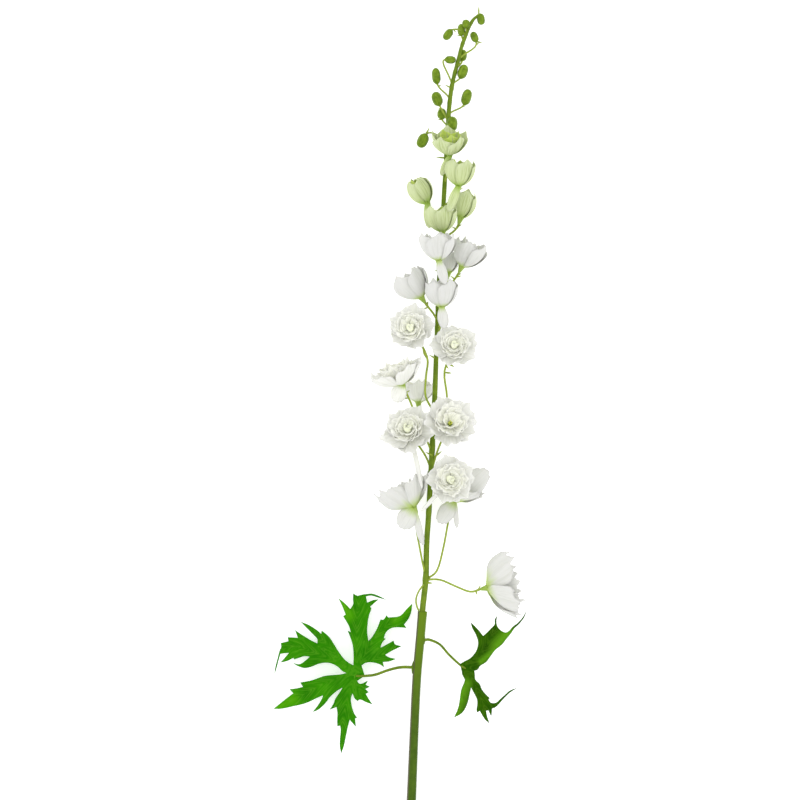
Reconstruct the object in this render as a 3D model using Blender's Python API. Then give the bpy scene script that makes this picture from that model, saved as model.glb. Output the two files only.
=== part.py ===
"""A cut delphinium stem, 0.84 m long, lying on a surface with its blooms up.

Lengths are in millimetres until the last step. X runs to the right of the stem, Y runs
from the cut end to the tip, Z is up and the surface is at Z = 0.
"""
import math
import random

import bmesh
import bpy
from mathutils import Matrix, Vector
from mathutils.geometry import delaunay_2d_cdt

# Driving dimensions
MM = 0.001
GAP = 0.3
PETAL_THICK = 0.75
LEAF_THICK = 1.0
PEDICEL_RADIUS = 1.25
CALYX_RADIUS = 2.7
CALYX_LENGTH = 4.5
FLOOR_SOFT = 7.0
FLOOR_LEAST = 0.1
FOOT_RADIUS = 2.0
PINWHEEL = 0.14
RIPPLE = 0.06
SCALLOP = 0.06
PETALS_START = 1.6
TONGUE_START = 3.4
TONGUE_SAG = 2.5
FOLD_WIDTH = 9.0
SEED = 11

# How much petals differ by chance: turn round the axis, length, and opening in degrees.
# Those of a bloom with a single ring differ less.
TURN_CHANCE = 8.0
LENGTH_CHANCE = 0.07
OPEN_CHANCE = 8.0
SINGLE_RING_SHARE = 0.4

# The solid base that holds a bloom's petals: heights above its seat, and its radius there
BASE_HEIGHTS = [GAP, 1.4, 3.2, 7.6]
BASE_RADII = [CALYX_RADIUS, 4.3, 4.6, 2.4]

# How many sides and steps the small repeats have
BASE_SIDES = 8
BUD_SIDES = 6
PEDICEL_SIDES = 4
ROD_SIDES = 8
PETAL_COLUMNS = 2

# Stalk below the collar: x, y, z and radius, from the cut end to the mouth of the socket
STALK = [
    (9.6, -423.0, 4.47, 4.7),
    (10.1, -408.0, 4.47, 4.7),
    (11.5, -374.0, 6.0, 4.65),
    (14.2, -307.0, 9.5, 4.3),
    (16.8, -253.0, 12.6, 4.3),
    (20.2, -214.0, 15.0, 4.4),
    (22.0, -193.0, 16.3, 4.5),
    (22.3, -190.0, 16.5, 4.9),
    (22.6, -186.0, 16.8, 4.9),
]
STALK_SIDES = 10
SOCKET_DEPTH = 10.3
BORE_RADIUS = 3.7

# Rod above the collar, from the socket to the tip
ROD = [
    (21.9, -196.0, 16.1, 3.1),
    (22.9, -181.0, 17.1, 3.2),
    (25.9, -152.0, 19.0, 3.2),
    (26.7, -118.0, 21.0, 3.1),
    (28.8, -86.0, 23.0, 3.0),
    (32.6, -14.0, 26.0, 2.9),
    (35.0, 35.0, 27.0, 2.8),
    (37.3, 104.0, 28.0, 2.4),
    (40.0, 162.0, 28.5, 2.3),
    (44.6, 241.0, 27.5, 2.4),
    (48.0, 301.0, 25.5, 2.4),
    (49.7, 324.0, 24.5, 2.3),
    (52.7, 344.0, 23.5, 2.2),
    (58.0, 365.0, 22.5, 2.1),
    (61.8, 380.0, 22.0, 2.0),
    (67.2, 395.0, 21.5, 1.9),
    (73.0, 406.5, 21.0, 1.7),
    (79.5, 412.0, 21.0, 1.4),
]

WHITE = (0.86, 0.88, 0.84)
PALE_GREEN = (0.62, 0.75, 0.38)
ROD_GREEN = (0.16, 0.30, 0.04)
STALK_GREEN = (0.08, 0.20, 0.02)
LEAF_GREEN = (0.05, 0.29, 0.02)
DARK_LEAF_GREEN = (0.04, 0.16, 0.01)


# Scene and materials
def clear_scene():
    for thing in list(bpy.data.objects):
        bpy.data.objects.remove(thing, do_unlink=True)


def material(name, colour, roughness):
    made = bpy.data.materials.new(name)
    made.use_nodes = True
    shader = made.node_tree.nodes["Principled BSDF"]
    shader.inputs["Base Color"].default_value = (*colour, 1.0)
    shader.inputs["Roughness"].default_value = roughness
    shader.inputs["Metallic"].default_value = 0.0
    return made


# Closed meshes made from a grid
def tube(path, radii, sides, flat=1.0):
    """A closed round tube along a path, with its ends filled. Flat below 1 squashes it."""
    mesh = bmesh.new()
    bmesh.ops.create_grid(mesh, x_segments=sides, y_segments=len(path) - 1, size=0.5)
    ways = directions(path)
    across = ways[0].orthogonal().normalized()
    frames = []
    for way in ways:
        across = (across - way * across.dot(way)).normalized()
        frames.append((across.copy(), way.cross(across)))
    for vertex in mesh.verts:
        turn = 2.0 * math.pi * (vertex.co.x + 0.5 + 0.5 / sides)
        k = round((vertex.co.y + 0.5) * (len(path) - 1))
        side, up = frames[k]
        around = side * (math.cos(turn) * flat) + up * math.sin(turn)
        vertex.co = path[k] + around * radii[k]
    bmesh.ops.remove_doubles(mesh, verts=mesh.verts, dist=0.001)
    bmesh.ops.holes_fill(mesh, edges=mesh.edges, sides=0)
    bmesh.ops.recalc_face_normals(mesh, faces=mesh.faces)
    return mesh


def directions(path):
    ways = []
    for k in range(len(path)):
        before = path[max(k - 1, 0)]
        after = path[min(k + 1, len(path) - 1)]
        ways.append((after - before).normalized())
    return ways


def blade(columns, rows, place, thick):
    """A thin curved sheet with thickness. place gives a point for s in -1..1 and u in 0..1."""
    mesh = bmesh.new()
    bmesh.ops.create_grid(mesh, x_segments=columns, y_segments=rows, size=0.5)
    for vertex in mesh.verts:
        vertex.co = place(2.0 * vertex.co.x, vertex.co.y + 0.5)
    mesh.normal_update()
    bmesh.ops.triangulate(mesh, faces=mesh.faces)
    bmesh.ops.solidify(mesh, geom=mesh.faces[:], thickness=thick)
    bmesh.ops.recalc_face_normals(mesh, faces=mesh.faces)
    return mesh


def bezier(start, start_handle, end_handle, end, count):
    points = []
    for k in range(count):
        t = k / (count - 1)
        a = (1 - t) ** 3
        b = 3 * t * (1 - t) ** 2
        c = 3 * t * t * (1 - t)
        d = t ** 3
        points.append(start * a + start_handle * b + end_handle * c + end * d)
    return points


def lifted(point):
    """What would go under the surface bends and lies along it."""
    if point.z < FLOOR_SOFT:
        rise = FLOOR_SOFT - FLOOR_LEAST
        point = point.copy()
        point.z = FLOOR_LEAST + rise * math.exp((point.z - FLOOR_SOFT) / rise)
    return point


# Objects
def to_object(name, mesh):
    data = bpy.data.meshes.new(name)
    bmesh.ops.scale(mesh, vec=(MM, MM, MM), verts=mesh.verts)
    mesh.to_mesh(data)
    mesh.free()
    thing = bpy.data.objects.new(name, data)
    return thing


def joined(name, meshes, look, smooth):
    """One closed body from several that overlap, by one union on a collection."""
    first = to_object(name, meshes[0])
    bpy.context.scene.collection.objects.link(first)
    if len(meshes) > 1:
        others = bpy.data.collections.new(name + " parts")
        bpy.context.scene.collection.children.link(others)
        for k, mesh in enumerate(meshes[1:]):
            others.objects.link(to_object(name + " part " + str(k), mesh))
        union = first.modifiers.new("join", "BOOLEAN")
        union.operation = "UNION"
        union.operand_type = "COLLECTION"
        union.collection = others
        union.solver = "MANIFOLD"
        graph = bpy.context.evaluated_depsgraph_get()
        graph.update()
        data = bpy.data.meshes.new_from_object(first.evaluated_get(graph))
        first.modifiers.clear()
        first.data = data
        for thing in list(others.objects):
            bpy.data.objects.remove(thing, do_unlink=True)
        bpy.data.collections.remove(others)
    first.data.materials.clear()
    first.data.materials.append(look)
    for face in first.data.polygons:
        face.use_smooth = smooth
    return first


# Stalk and rod
def points_of(rows):
    return [Vector(row[:3]) for row in rows]


def rod_at(y):
    """The point of the rod's axis at a distance along the stem, and the rod's direction there."""
    for low, high in zip(ROD, ROD[1:]):
        if y <= high[1]:
            break
    part = (y - low[1]) / (high[1] - low[1])
    start = Vector(low[:3])
    end = Vector(high[:3])
    return start.lerp(end, part), (end - start).normalized()


def stalk(look):
    path = points_of(STALK)
    radii = [row[3] for row in STALK]
    mouth = path[-1]
    back = (path[-3] - path[-1]).normalized()
    path += [mouth, mouth + back * SOCKET_DEPTH]
    radii += [BORE_RADIUS, BORE_RADIUS]
    return joined("stem_lower", [ringed(path, radii, STALK_SIDES)], look, True)


def ringed(path, radii, sides):
    """A tube whose rings may turn back inside it, as at a socket. The first ring faces down flat."""
    mesh = bmesh.new()
    bmesh.ops.create_grid(mesh, x_segments=sides, y_segments=len(path) - 1, size=0.5)
    ways = directions(path[: len(STALK)])
    for vertex in mesh.verts:
        turn = 2.0 * math.pi * (vertex.co.x + 0.5 + 0.5 / sides)
        k = round((vertex.co.y + 0.5) * (len(path) - 1))
        way = ways[min(k, len(ways) - 1)]
        across = Vector((1.0, 0.0, 0.0))
        across = (across - way * across.dot(way)).normalized()
        up = across.cross(way)
        around = up * -math.cos(turn) + across * math.sin(turn)
        vertex.co = path[k] + around * radii[k]
    bmesh.ops.remove_doubles(mesh, verts=mesh.verts, dist=0.001)
    bmesh.ops.holes_fill(mesh, edges=mesh.edges, sides=0)
    bmesh.ops.recalc_face_normals(mesh, faces=mesh.faces)
    return mesh


# Buds, bracts and pedicels, all moulded with the rod
def bud(base, way, length, radius):
    """A closed bud: a pointed egg on a narrow foot."""
    heights = [-0.05, 0.12, 0.48, 0.82, 1.0]
    widths = [0.32, 0.74, 1.0, 0.62, 0.1]
    way = way.normalized()
    path = [base + way * (length * h) for h in heights]
    return tube(path, [radius * w for w in widths], BUD_SIDES, 0.92)


def bract(base, way, length, width):
    """A small pointed leaf at the foot of a pedicel."""
    way = way.normalized()
    path = [base + way * (length * h) for h in (0.0, 0.4, 1.0)]
    return tube(path, [width * 0.7, width, width * 0.16], PEDICEL_SIDES, 0.45)


def pedicel_path(start_y, end, end_way, reach, via=()):
    """From the rod at start_y to end, through the points in via or else along a curve."""
    start, up = rod_at(start_y)
    if via:
        return [start, *map(Vector, via), end]
    span = (end - start).length * reach
    return bezier(start, start + up * span, end - end_way * span, end, 5)


# x, y, z of the foot, way it points, length, radius, height on the rod where it leaves
BUDS = [
    ((80.3, 412.5, 21.5), (0.15, -0.98, 0.1), 11.0, 4.2, 404.0),
    ((51.5, 396.5, 24.0), (-0.6, -0.8, 0.1), 12.0, 4.3, 389.0),
    ((61.5, 391.5, 20.0), (0.0, 1.0, 0.0), 11.5, 4.1, 383.0),
    ((66.0, 398.5, 25.0), (0.0, 1.0, 0.3), 8.5, 4.0, 392.0),
    ((76.5, 385.0, 22.5), (-0.4, 0.92, 0.1), 10.5, 4.0, 364.0),
    ((62.5, 366.5, 16.5), (0.1, 1.0, -0.1), 11.0, 4.3, 354.0),
    ((45.5, 367.0, 24.5), (1.0, -0.08, 0.1), 10.5, 4.1, 338.0),
    ((60.5, 348.5, 24.5), (0.35, 0.93, 0.1), 14.0, 5.2, 340.0),
    ((37.0, 343.0, 26.0), (-0.1, 1.0, 0.0), 15.5, 4.6, 324.0),
    ((39.5, 321.0, 28.0), (-0.35, 0.93, 0.1), 14.0, 5.4, 299.0),
    ((42.0, 308.0, 17.0), (0.0, 1.0, -0.1), 10.5, 4.8, 297.0),
    ((64.5, 322.0, 27.0), (0.28, 0.96, 0.1), 15.5, 5.2, 309.0),
    ((51.5, 295.0, 32.0), (0.05, 1.0, 0.15), 14.5, 5.9, 283.0),
    ((25.8, 291.5, 30.0), (-0.45, -0.89, 0.1), 14.5, 5.7, 277.0),
]

# A pedicel that lost its bloom, curving down beside the collar
BARE_LOOP = [
    (26.0, -157.0, 19.5), (22.0, -161.0, 21.5), (18.0, -167.0, 22.5),
    (16.0, -174.0, 22.5), (17.0, -181.0, 22.0), (19.0, -185.0, 22.5),
]

# Loose bracts: foot, way, length and half width
BRACTS = [
    ((79.0, 411.5, 21.0), (-0.06, 1.0, 0.0), 10.0, 1.4),
    ((51.5, 338.0, 25.0), (-0.8, 0.5, 0.3), 8.0, 1.3),
    ((57.5, 360.0, 24.0), (0.7, 0.6, 0.2), 9.0, 1.3),
    ((76.5, 385.2, 22.8), (0.8, -0.3, 0.3), 7.0, 1.3),
    ((26.2, 291.0, 30.0), (0.3, 0.9, 0.3), 9.0, 1.4),
    ((46.0, 268.0, 27.5), (-0.8, 0.1, 0.3), 11.0, 1.4),
    ((36.0, 67.0, 28.8), (-0.7, 0.5, 0.4), 9.0, 1.4),
    ((37.0, 98.0, 29.2), (0.7, 0.6, 0.3), 9.0, 1.4),
    ((33.0, -30.0, 28.0), (-0.8, 0.5, 0.3), 9.0, 1.5),
    ((34.0, -31.0, 28.0), (0.8, 0.5, 0.3), 11.0, 1.5),
    ((26.5, -157.0, 20.5), (0.8, -0.1, 0.4), 8.0, 1.6),
    ((41.0, 173.0, 29.5), (0.8, 0.4, 0.3), 9.0, 1.3),
    ((27.0, 68.0, 38.2), (-0.45, 0.85, 0.1), 12.0, 2.6),
    ((47.3, 63.0, 38.0), (0.75, -0.5, 0.3), 9.0, 2.0),
    ((45.0, 53.5, 36.0), (0.9, -0.15, 0.3), 8.0, 1.5),
]


# Petals and blooms
def petal(ring, length, start_angle, end_angle, phase):
    """Gives the point of a petal at s across and u along, with the bloom's axis along Z.

    The angles are from the axis, at the foot and at the tip. With wrap 1 the petal bends
    round the axis like part of a bowl, with 0 it is flat across. Taper near 1 narrows the tip
    and rounding shortens the sides.
    """
    bend = end_angle - start_angle

    def place(s, u):
        scallop = 0.5 - 0.5 * math.cos(2.0 * math.pi * s)
        u = u * (1.0 - ring.rounding * s * s - SCALLOP * scallop * u ** 3)
        angle = start_angle + bend * u
        out = FOOT_RADIUS + length * (math.cos(start_angle) - math.cos(angle)) / bend
        high = ring.foot + length * (math.sin(angle) - math.sin(start_angle)) / bend
        width = 1.2 + ring.half_width * 0.94 * math.sin(math.pi * ring.taper * u ** 1.1)
        slope = PINWHEEL * s + RIPPLE * math.cos(2.5 * math.pi * s + phase) * u * u
        out -= width * slope * math.cos(angle)
        high += width * slope * math.sin(angle)
        turn = s * width * ring.wrap / out
        reach = width * s * (1.0 - ring.wrap)
        across = out * math.sin(turn) + reach
        along = out * math.cos(turn)
        return Vector((along, across, high + 0.1 * ring.wrap * width * s * s))

    return place


def tongue(start, end, half_width, sag):
    """A petal that hangs behind the bloom from start to end, seen flat from above."""
    along = end - start
    across = Vector((0.0, 0.0, 1.0)).cross(along).normalized()
    up = along.cross(across).normalized()

    def place(s, u):
        width = 1.3 + (half_width - 1.3) * math.sin(math.pi * (0.06 + 0.7 * u))
        arch = sag * math.sin(math.pi * u) - 0.25 * width * s * s
        u = u * (1.0 - 0.16 * s * s)
        return lifted(start + along * u + across * (width * s) + up * arch)

    return place


class Bloom:
    """Where a bloom sits, which way it faces and how its rings of petals open."""

    def __init__(self, name, seat, facing, leaves_rod, rings, tongues=(), via=(), reach=0.4):
        self.name = name
        self.seat = Vector(seat)
        self.facing = Vector(facing).normalized()
        self.leaves_rod = leaves_rod
        self.rings = rings
        self.tongues = tongues
        self.via = via
        self.reach = reach

    def turned(self):
        """The turn from the bloom's own axes to the stem's."""
        across = Vector((0.0, 0.0, 1.0)) - self.facing * self.facing.z
        across.normalize()
        side = self.facing.cross(across)
        return Matrix((across, side, self.facing)).transposed()

    def meshes(self):
        path = [self.seat + self.facing * height for height in BASE_HEIGHTS]
        made = [tube(path, BASE_RADII, BASE_SIDES)]
        turned = self.turned()
        centre = self.seat + self.facing * PETALS_START
        loose = 1.0 if len(self.rings) > 1 else SINGLE_RING_SHARE
        for ring in self.rings:
            for k in range(ring.count):
                turning = random.uniform(-TURN_CHANCE, TURN_CHANCE) * loose
                around = math.radians(ring.spin + 360.0 * k / ring.count + turning)
                grown = ring.length * random.uniform(1.0 - LENGTH_CHANCE, 1.0 + LENGTH_CHANCE)
                opened = math.radians(ring.end + random.uniform(-OPEN_CHANCE, OPEN_CHANCE) * loose)
                start = math.radians(ring.start)
                shape = petal(ring, grown, start, opened, k * 1.9)
                turn = turned @ Matrix.Rotation(around, 3, "Z")

                def place(s, u, shape=shape, turn=turn):
                    return lifted(centre + turn @ shape(s, u))

                made.append(blade(PETAL_COLUMNS, ring.rows, place, PETAL_THICK))
        for end, half_width in self.tongues:
            root = centre + self.facing * 0.4 + turned.col[0] * TONGUE_START
            shape = tongue(root, Vector(end), half_width, TONGUE_SAG)
            made.append(blade(PETAL_COLUMNS, 3, shape, PETAL_THICK))
        return made


class Ring:
    """One ring of petals, with angles in degrees from the bloom's axis."""

    def __init__(self, count, length, half_width, start, end, spin,
                 foot=0.0, wrap=0.85, taper=0.82, rounding=0.2, rows=3):
        self.count = count
        self.length = length
        self.half_width = half_width
        self.start = start
        self.end = end
        self.spin = spin
        self.foot = foot
        self.wrap = wrap
        self.taper = taper
        self.rounding = rounding
        self.rows = rows


def full(length, half_width, start, end, spin):
    """Five broad petals and, inside them, five smaller and three small steep ones."""
    outer = Ring(5, length, half_width, start, end, spin)
    middle = Ring(5, length * 0.76, half_width * 0.76, start - 20, end - 16, spin + 36, 3.0, rows=2)
    inner = Ring(3, length * 0.5, half_width * 0.6, start - 40, end - 32, spin + 10, 4.8, 0.8, rows=2)
    return [outer, middle, inner]


def fan(length, half_width, start, end, spin):
    """A half open bloom: five petals and three small ones inside them."""
    outer = Ring(5, length, half_width, start, end, spin)
    inner = Ring(3, length * 0.62, half_width * 0.7, start - 30, end - 14, spin + 36, 4.0, rows=2)
    return [outer, inner]


def cup(length, half_width, start, end, spin, count=5):
    return [Ring(count, length, half_width, start, end, spin, 0.0, 1.0, 0.86, 0.32)]


BLOOMS = [
    Bloom("bloom_1", (85.0, -162.0, 36.0), (0.95, 0.2, -0.05), -154.0, full(49, 20, 80, 10, 36), (),
          [(40.0, -154.0, 24.0), (55.0, -160.0, 30.0), (70.0, -165.5, 34.5)]),
    Bloom("bloom_2", (14.6, -83.0, 35.0), (-0.48, 0.87, -0.08), -152.0, fan(43, 17, 66, 22, 36),
          [((23.0, -119.0, 37.0), 3.6), ((1.0, -102.0, 42.0), 10.0)],
          [(22.0, -134.0, 24.0), (19.0, -118.0, 28.0), (16.0, -100.0, 33.0)]),
    Bloom("bloom_3", (49.0, -55.0, 50.0), (0.12, 0.15, 0.97), -84.0, full(26, 14, 84, 58, 20),
          [((21.0, -85.0, 50.0), 2.2)]),
    Bloom("bloom_4", (54.0, -76.0, 16.0), (0.5, 0.85, 0.1), -154.0, fan(34, 11, 62, 30, 30),
          [((57.0, -102.0, 25.0), 2.6), ((39.0, -97.0, 31.0), 8.5), ((88.0, -44.0, 24.0), 12.0)],
          [(37.0, -145.0, 19.5), (43.5, -122.0, 18.0), (48.0, -98.0, 16.5)]),
    Bloom("bloom_5", (48.0, -1.0, 53.0), (0.2, 0.42, 0.88), -60.0, full(30, 15, 84, 48, 18),
          [((77.0, 5.0, 54.0), 5.5)]),
    Bloom("bloom_6", (10.0, -7.0, 39.0), (-0.2, 0.4, 0.89), -50.0, full(27, 15, 84, 50, 54),
          [((22.0, -62.0, 56.0), 2.4), ((-21.0, -12.0, 38.0), 5.0)]),
    Bloom("bloom_7", (18.5, 22.0, 10.5), (0.03, 0.98, -0.12), -20.0, cup(29, 11.5, 68, -4, 0)),
    Bloom("bloom_8", (3.0, 40.0, 42.0), (-0.38, 0.9, 0.14), -26.0, full(36, 15, 80, 28, 18),
          [((-5.0, 24.0, 46.0), 8.0)], [(24.0, -8.0, 32.0), (15.5, 11.0, 35.0), (10.0, 25.0, 38.0)]),
    Bloom("bloom_9", (12.5, 96.0, 44.0), (-0.2, 0.2, 0.95), 14.0, full(25, 13, 84, 54, 54),
          [((-6.0, 95.0, 44.0), 5.0)],
          [(25.5, 30.0, 36.0), (26.0, 50.0, 38.0), (27.0, 69.0, 38.0)]),
    Bloom("bloom_10", (53.8, 77.0, 43.5), (0.02, 0.35, 0.93), -5.0, full(24, 13, 84, 52, 60), (),
          [(45.0, 12.0, 30.0), (47.0, 29.0, 33.0), (44.5, 55.0, 36.0)]),
    Bloom("cup_1", (41.5, 117.0, 51.0), (0.0, 0.99, -0.03), 78.0, cup(34, 15, 72, -26, 36),
          [((44.0, 97.0, 54.0), 5.5)]),
    Bloom("cup_2", (22.5, 127.0, 34.0), (-0.55, 0.83, -0.03), 100.0, cup(36, 15, 68, -22, 36)),
    Bloom("cup_3", (48.0, 152.0, 12.0), (0.15, 0.98, -0.1), 118.0, cup(25, 8, 58, -36, 10, 4)),
    Bloom("cup_4", (61.0, 158.0, 30.0), (0.42, 0.9, 0.05), 120.0, cup(35, 15, 68, -20, -10)),
    Bloom("cup_5", (38.5, 163.0, 64.0), (-0.02, 0.99, 0.0), 148.0, cup(34, 15.5, 70, -16, 4),
          [((45.0, 141.0, 69.0), 5.0)], (), 0.35),
    Bloom("green_cup_1", (42.5, 192.0, 45.0), (-0.05, 0.98, 0.0), 175.0, cup(33, 13.5, 70, -24, 18)),
    Bloom("green_cup_2", (60.0, 206.5, 26.0), (0.28, 0.95, 0.0), 180.0, cup(34, 10.5, 62, -46, 0, 4)),
    Bloom("green_cup_3", (28.0, 221.5, 26.0), (-0.46, 0.88, 0.0), 196.0, cup(34, 10.5, 62, -46, 30, 4),
          [((29.5, 198.0, 27.5), 4.5)]),
    Bloom("green_cup_4", (58.0, 237.5, 54.5), (0.12, 0.98, 0.0), 214.0, cup(31, 13, 70, -31, 28),
          [((48.0, 213.0, 62.0), 4.5)]),
    Bloom("green_cup_5", (49.5, 269.0, 50.0), (0.0, 0.92, 0.38), 238.0, cup(31, 13, 70, -4, -30),
          [((41.0, 250.0, 40.0), 3.5)], (), 0.45),
]


# Leaves
class Leaf:
    """A cut leaf: lobes as outline points from the leaf's centre, ribs, and its stalk."""

    def __init__(self, name, centre, lobes, ribs, petiole, droop, fold):
        self.name = name
        self.centre = Vector(centre)
        self.lobes = lobes
        self.ribs = ribs
        self.petiole = petiole
        self.droop = droop
        self.fold = fold

    def height(self, x, y):
        """Each lobe is folded along its rib, and the tips hang."""
        far = math.hypot(x, y)
        nearest = far
        for rib in self.ribs:
            for start, end in zip([(0.0, 0.0)] + rib, rib):
                nearest = min(nearest, distance_to(x, y, start, end))
        return self.centre.z + self.fold * min(nearest, FOLD_WIDTH) - self.droop * (far / 80.0) ** 2

    def sheet(self):
        outline = [point for lobe in self.lobes for point in lobe]
        flat = [Vector(point) for point in outline]
        edges = [(k, (k + 1) % len(flat)) for k in range(len(flat))]
        middle = len(flat)
        flat.append(Vector((0.0, 0.0)))
        for rib in self.ribs:
            last = middle
            for point in rib:
                flat.append(Vector(point))
                edges.append((last, len(flat) - 1))
                last = len(flat) - 1
        found = delaunay_2d_cdt(flat, edges, [], 1, 0.001)
        mesh = bmesh.new()
        made = [
            mesh.verts.new((self.centre.x + p.x, self.centre.y + p.y, self.height(p.x, p.y)))
            for p in found[0]
        ]
        for face in found[2]:
            mesh.faces.new([made[k] for k in face])
        mesh.normal_update()
        bmesh.ops.solidify(mesh, geom=mesh.faces[:], thickness=LEAF_THICK)
        bmesh.ops.recalc_face_normals(mesh, faces=mesh.faces)
        return mesh

    def meshes(self):
        points = [Vector(row[:3]) for row in self.petiole]
        stalk_mesh = tube(points, [row[3] for row in self.petiole], 6)
        return [self.sheet(), stalk_mesh]


def distance_to(x, y, start, end):
    """Distance in plan from a point to the line between two others."""
    along = Vector(end) - Vector(start)
    away = Vector((x, y)) - Vector(start)
    part = max(0.0, min(1.0, away.dot(along) / along.length_squared))
    return (away - along * part).length


LEFT_LOBES = [
    [(6.5, 10.5), (11.0, 13.3), (18.0, 13.5), (25.0, 11.5), (29.0, 8.7), (27.8, 14.0), (34.0, 14.5),
     (41.5, 17.0), (34.0, 18.5), (30.0, 21.0), (46.5, 29.5), (40.0, 31.5), (38.5, 35.3),
     (25.5, 28.3)],
    [(27.0, 33.0), (30.7, 37.2), (28.8, 37.7), (31.0, 43.5), (36.0, 47.5), (43.0, 48.5),
     (51.5, 47.7), (49.0, 51.0), (54.0, 57.5), (56.5, 64.5), (57.3, 72.0), (45.0, 59.5),
     (33.0, 58.3), (31.5, 60.5), (28.5, 56.2), (25.5, 56.3), (22.0, 47.5), (17.5, 39.5),
     (13.5, 34.9)],
    [(12.2, 42.5), (12.5, 51.5), (14.0, 60.5), (16.3, 67.0), (15.0, 69.0), (23.5, 76.2),
     (18.0, 75.5), (12.0, 73.0), (10.8, 79.3), (16.0, 80.1), (31.5, 75.7), (17.0, 81.9),
     (2.0, 79.8), (-2.0, 82.3), (-2.0, 71.5), (-5.0, 66.7), (-17.0, 77.7), (-9.5, 61.2),
     (-12.0, 59.5), (-6.0, 49.5), (-4.4, 43.9), (-7.5, 45.3), (-2.5, 31.5), (-1.5, 21.5),
     (-1.7, 10.7)],
    [(-7.0, 13.7), (-11.0, 17.0), (-25.0, 37.7), (-29.0, 41.7), (-33.5, 45.2), (-34.0, 41.9),
     (-39.0, 46.0), (-47.0, 50.8), (-54.8, 53.7), (-38.0, 36.7), (-38.0, 32.5), (-44.0, 35.3),
     (-60.4, 45.7), (-57.5, 37.8), (-67.6, 38.3), (-67.0, 34.3), (-74.8, 32.3), (-74.2, 28.5),
     (-76.0, 24.5), (-80.0, 9.0), (-81.2, 1.0), (-75.2, 21.5), (-66.3, 22.5), (-75.0, 12.9),
     (-69.0, 14.3), (-62.0, 17.7), (-61.0, 16.2), (-51.0, 19.5), (-45.5, 19.1), (-50.0, 15.1),
     (-56.0, 11.5), (-62.4, 12.7), (-58.0, 9.9), (-51.0, 7.7), (-30.0, 13.2), (-23.0, 12.2),
     (-9.0, 3.0)],
    [(-13.0, 1.7), (-30.0, 0.1), (-44.0, -4.7), (-55.0, -6.8), (-52.2, -11.3), (-65.8, -13.7),
     (-62.0, -17.8), (-82.4, -34.1), (-74.0, -33.7), (-52.0, -28.4), (-32.0, -19.5), (-34.0, -24.3),
     (-42.8, -36.5), (-37.0, -34.1), (-30.0, -27.7), (-25.0, -21.1), (-19.0, -15.7), (-12.4, -11.5)],
    [(-15.0, -15.7), (-20.0, -23.0), (-21.5, -27.5), (-25.5, -34.0), (-18.7, -31.1), (-17.7, -37.5),
     (-17.8, -50.7), (-15.0, -50.1), (-14.4, -54.5), (-15.4, -71.5), (-14.0, -78.7), (-11.6, -71.5),
     (-5.4, -43.9), (0.8, -51.3), (0.0, -42.7), (2.0, -41.9), (-1.0, -37.5), (-3.5, -29.5),
     (-4.2, -22.5), (-2.5, -17.3)],
    [(-0.5, -22.5), (2.5, -25.1), (4.8, -23.5), (17.3, -28.7), (10.6, -18.0), (13.6, -16.3),
     (10.2, -13.0), (14.8, -10.7), (10.6, -8.9), (12.8, -4.5), (7.0, -7.5), (4.0, -7.5),
     (2.0, -5.0), (7.0, -1.7), (9.2, 1.0), (8.0, 5.5)],
]
LEFT_RIBS = [
    [(8.0, 18.0), (16.0, 32.0), (26.0, 46.0), (38.0, 54.0), (56.0, 70.0)],
    [(14.0, 14.0), (28.0, 22.0), (44.0, 29.0)],
    [(2.0, 30.0), (2.0, 58.0), (4.0, 80.0)],
    [(-14.0, 16.0), (-26.0, 30.0), (-38.0, 40.0), (-53.0, 53.0)],
    [(-18.0, 14.0), (-36.0, 22.0), (-56.0, 29.0), (-66.0, 29.0), (-75.0, 24.0)],
    [(-8.0, 2.0), (-32.0, -8.0), (-54.0, -20.0), (-80.0, -33.0)],
    [(-6.0, -14.0), (-12.0, -42.0), (-14.0, -77.0)],
    [(2.0, -10.0), (9.0, -20.0), (16.0, -28.0)],
]
RIGHT_LOBES = [
    [(-3.0, 3.5), (7.0, 9.0), (11.0, 13.0), (14.0, 18.0), (15.3, 24.0), (14.8, 28.0), (9.2, 40.0),
     (7.8, 45.5), (20.3, 31.6), (31.8, 43.0), (32.0, 48.0), (34.5, 52.5), (33.6, 47.0),
     (34.2, 42.0), (36.5, 38.5), (40.0, 36.0), (43.0, 35.2), (46.5, 37.0), (50.0, 41.0),
     (55.0, 44.6), (60.0, 50.2), (64.2, 57.2), (61.4, 50.0), (56.5, 43.6), (51.5, 39.0),
     (39.0, 23.0), (32.0, 17.4), (23.0, 5.5), (17.0, 1.8), (15.0, -1.5), (11.3, -3.0)],
    [(11.8, -6.5), (12.3, -12.0), (16.5, -16.2), (19.0, -22.0), (26.8, -30.4), (25.6, -32.0),
     (27.5, -35.0), (31.0, -35.6), (34.0, -34.6), (47.0, -23.0), (55.0, -20.0), (44.0, -27.8),
     (33.0, -39.4), (29.0, -41.2), (28.4, -49.0), (25.7, -43.0), (23.3, -43.4), (23.9, -48.0),
     (26.8, -56.4), (22.5, -52.5), (17.0, -43.2), (14.2, -44.8), (14.3, -32.0), (8.2, -19.6)],
    [(6.7, -26.0), (5.0, -34.0), (2.0, -41.5), (-2.0, -46.5), (-9.0, -50.4), (-4.0, -38.0),
     (-1.5, -22.0), (2.0, -12.0), (-0.5, -7.0), (-1.2, -3.0)],
]
RIGHT_RIBS = [
    [(6.0, 6.0), (16.0, 12.0), (24.0, 22.0), (32.0, 40.0)],
    [(8.0, -8.0), (16.0, -26.0), (22.0, -40.0), (25.0, -54.0)],
    [(4.0, -10.0), (2.0, -26.0), (-3.0, -40.0), (-8.0, -50.0)],
]
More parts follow.
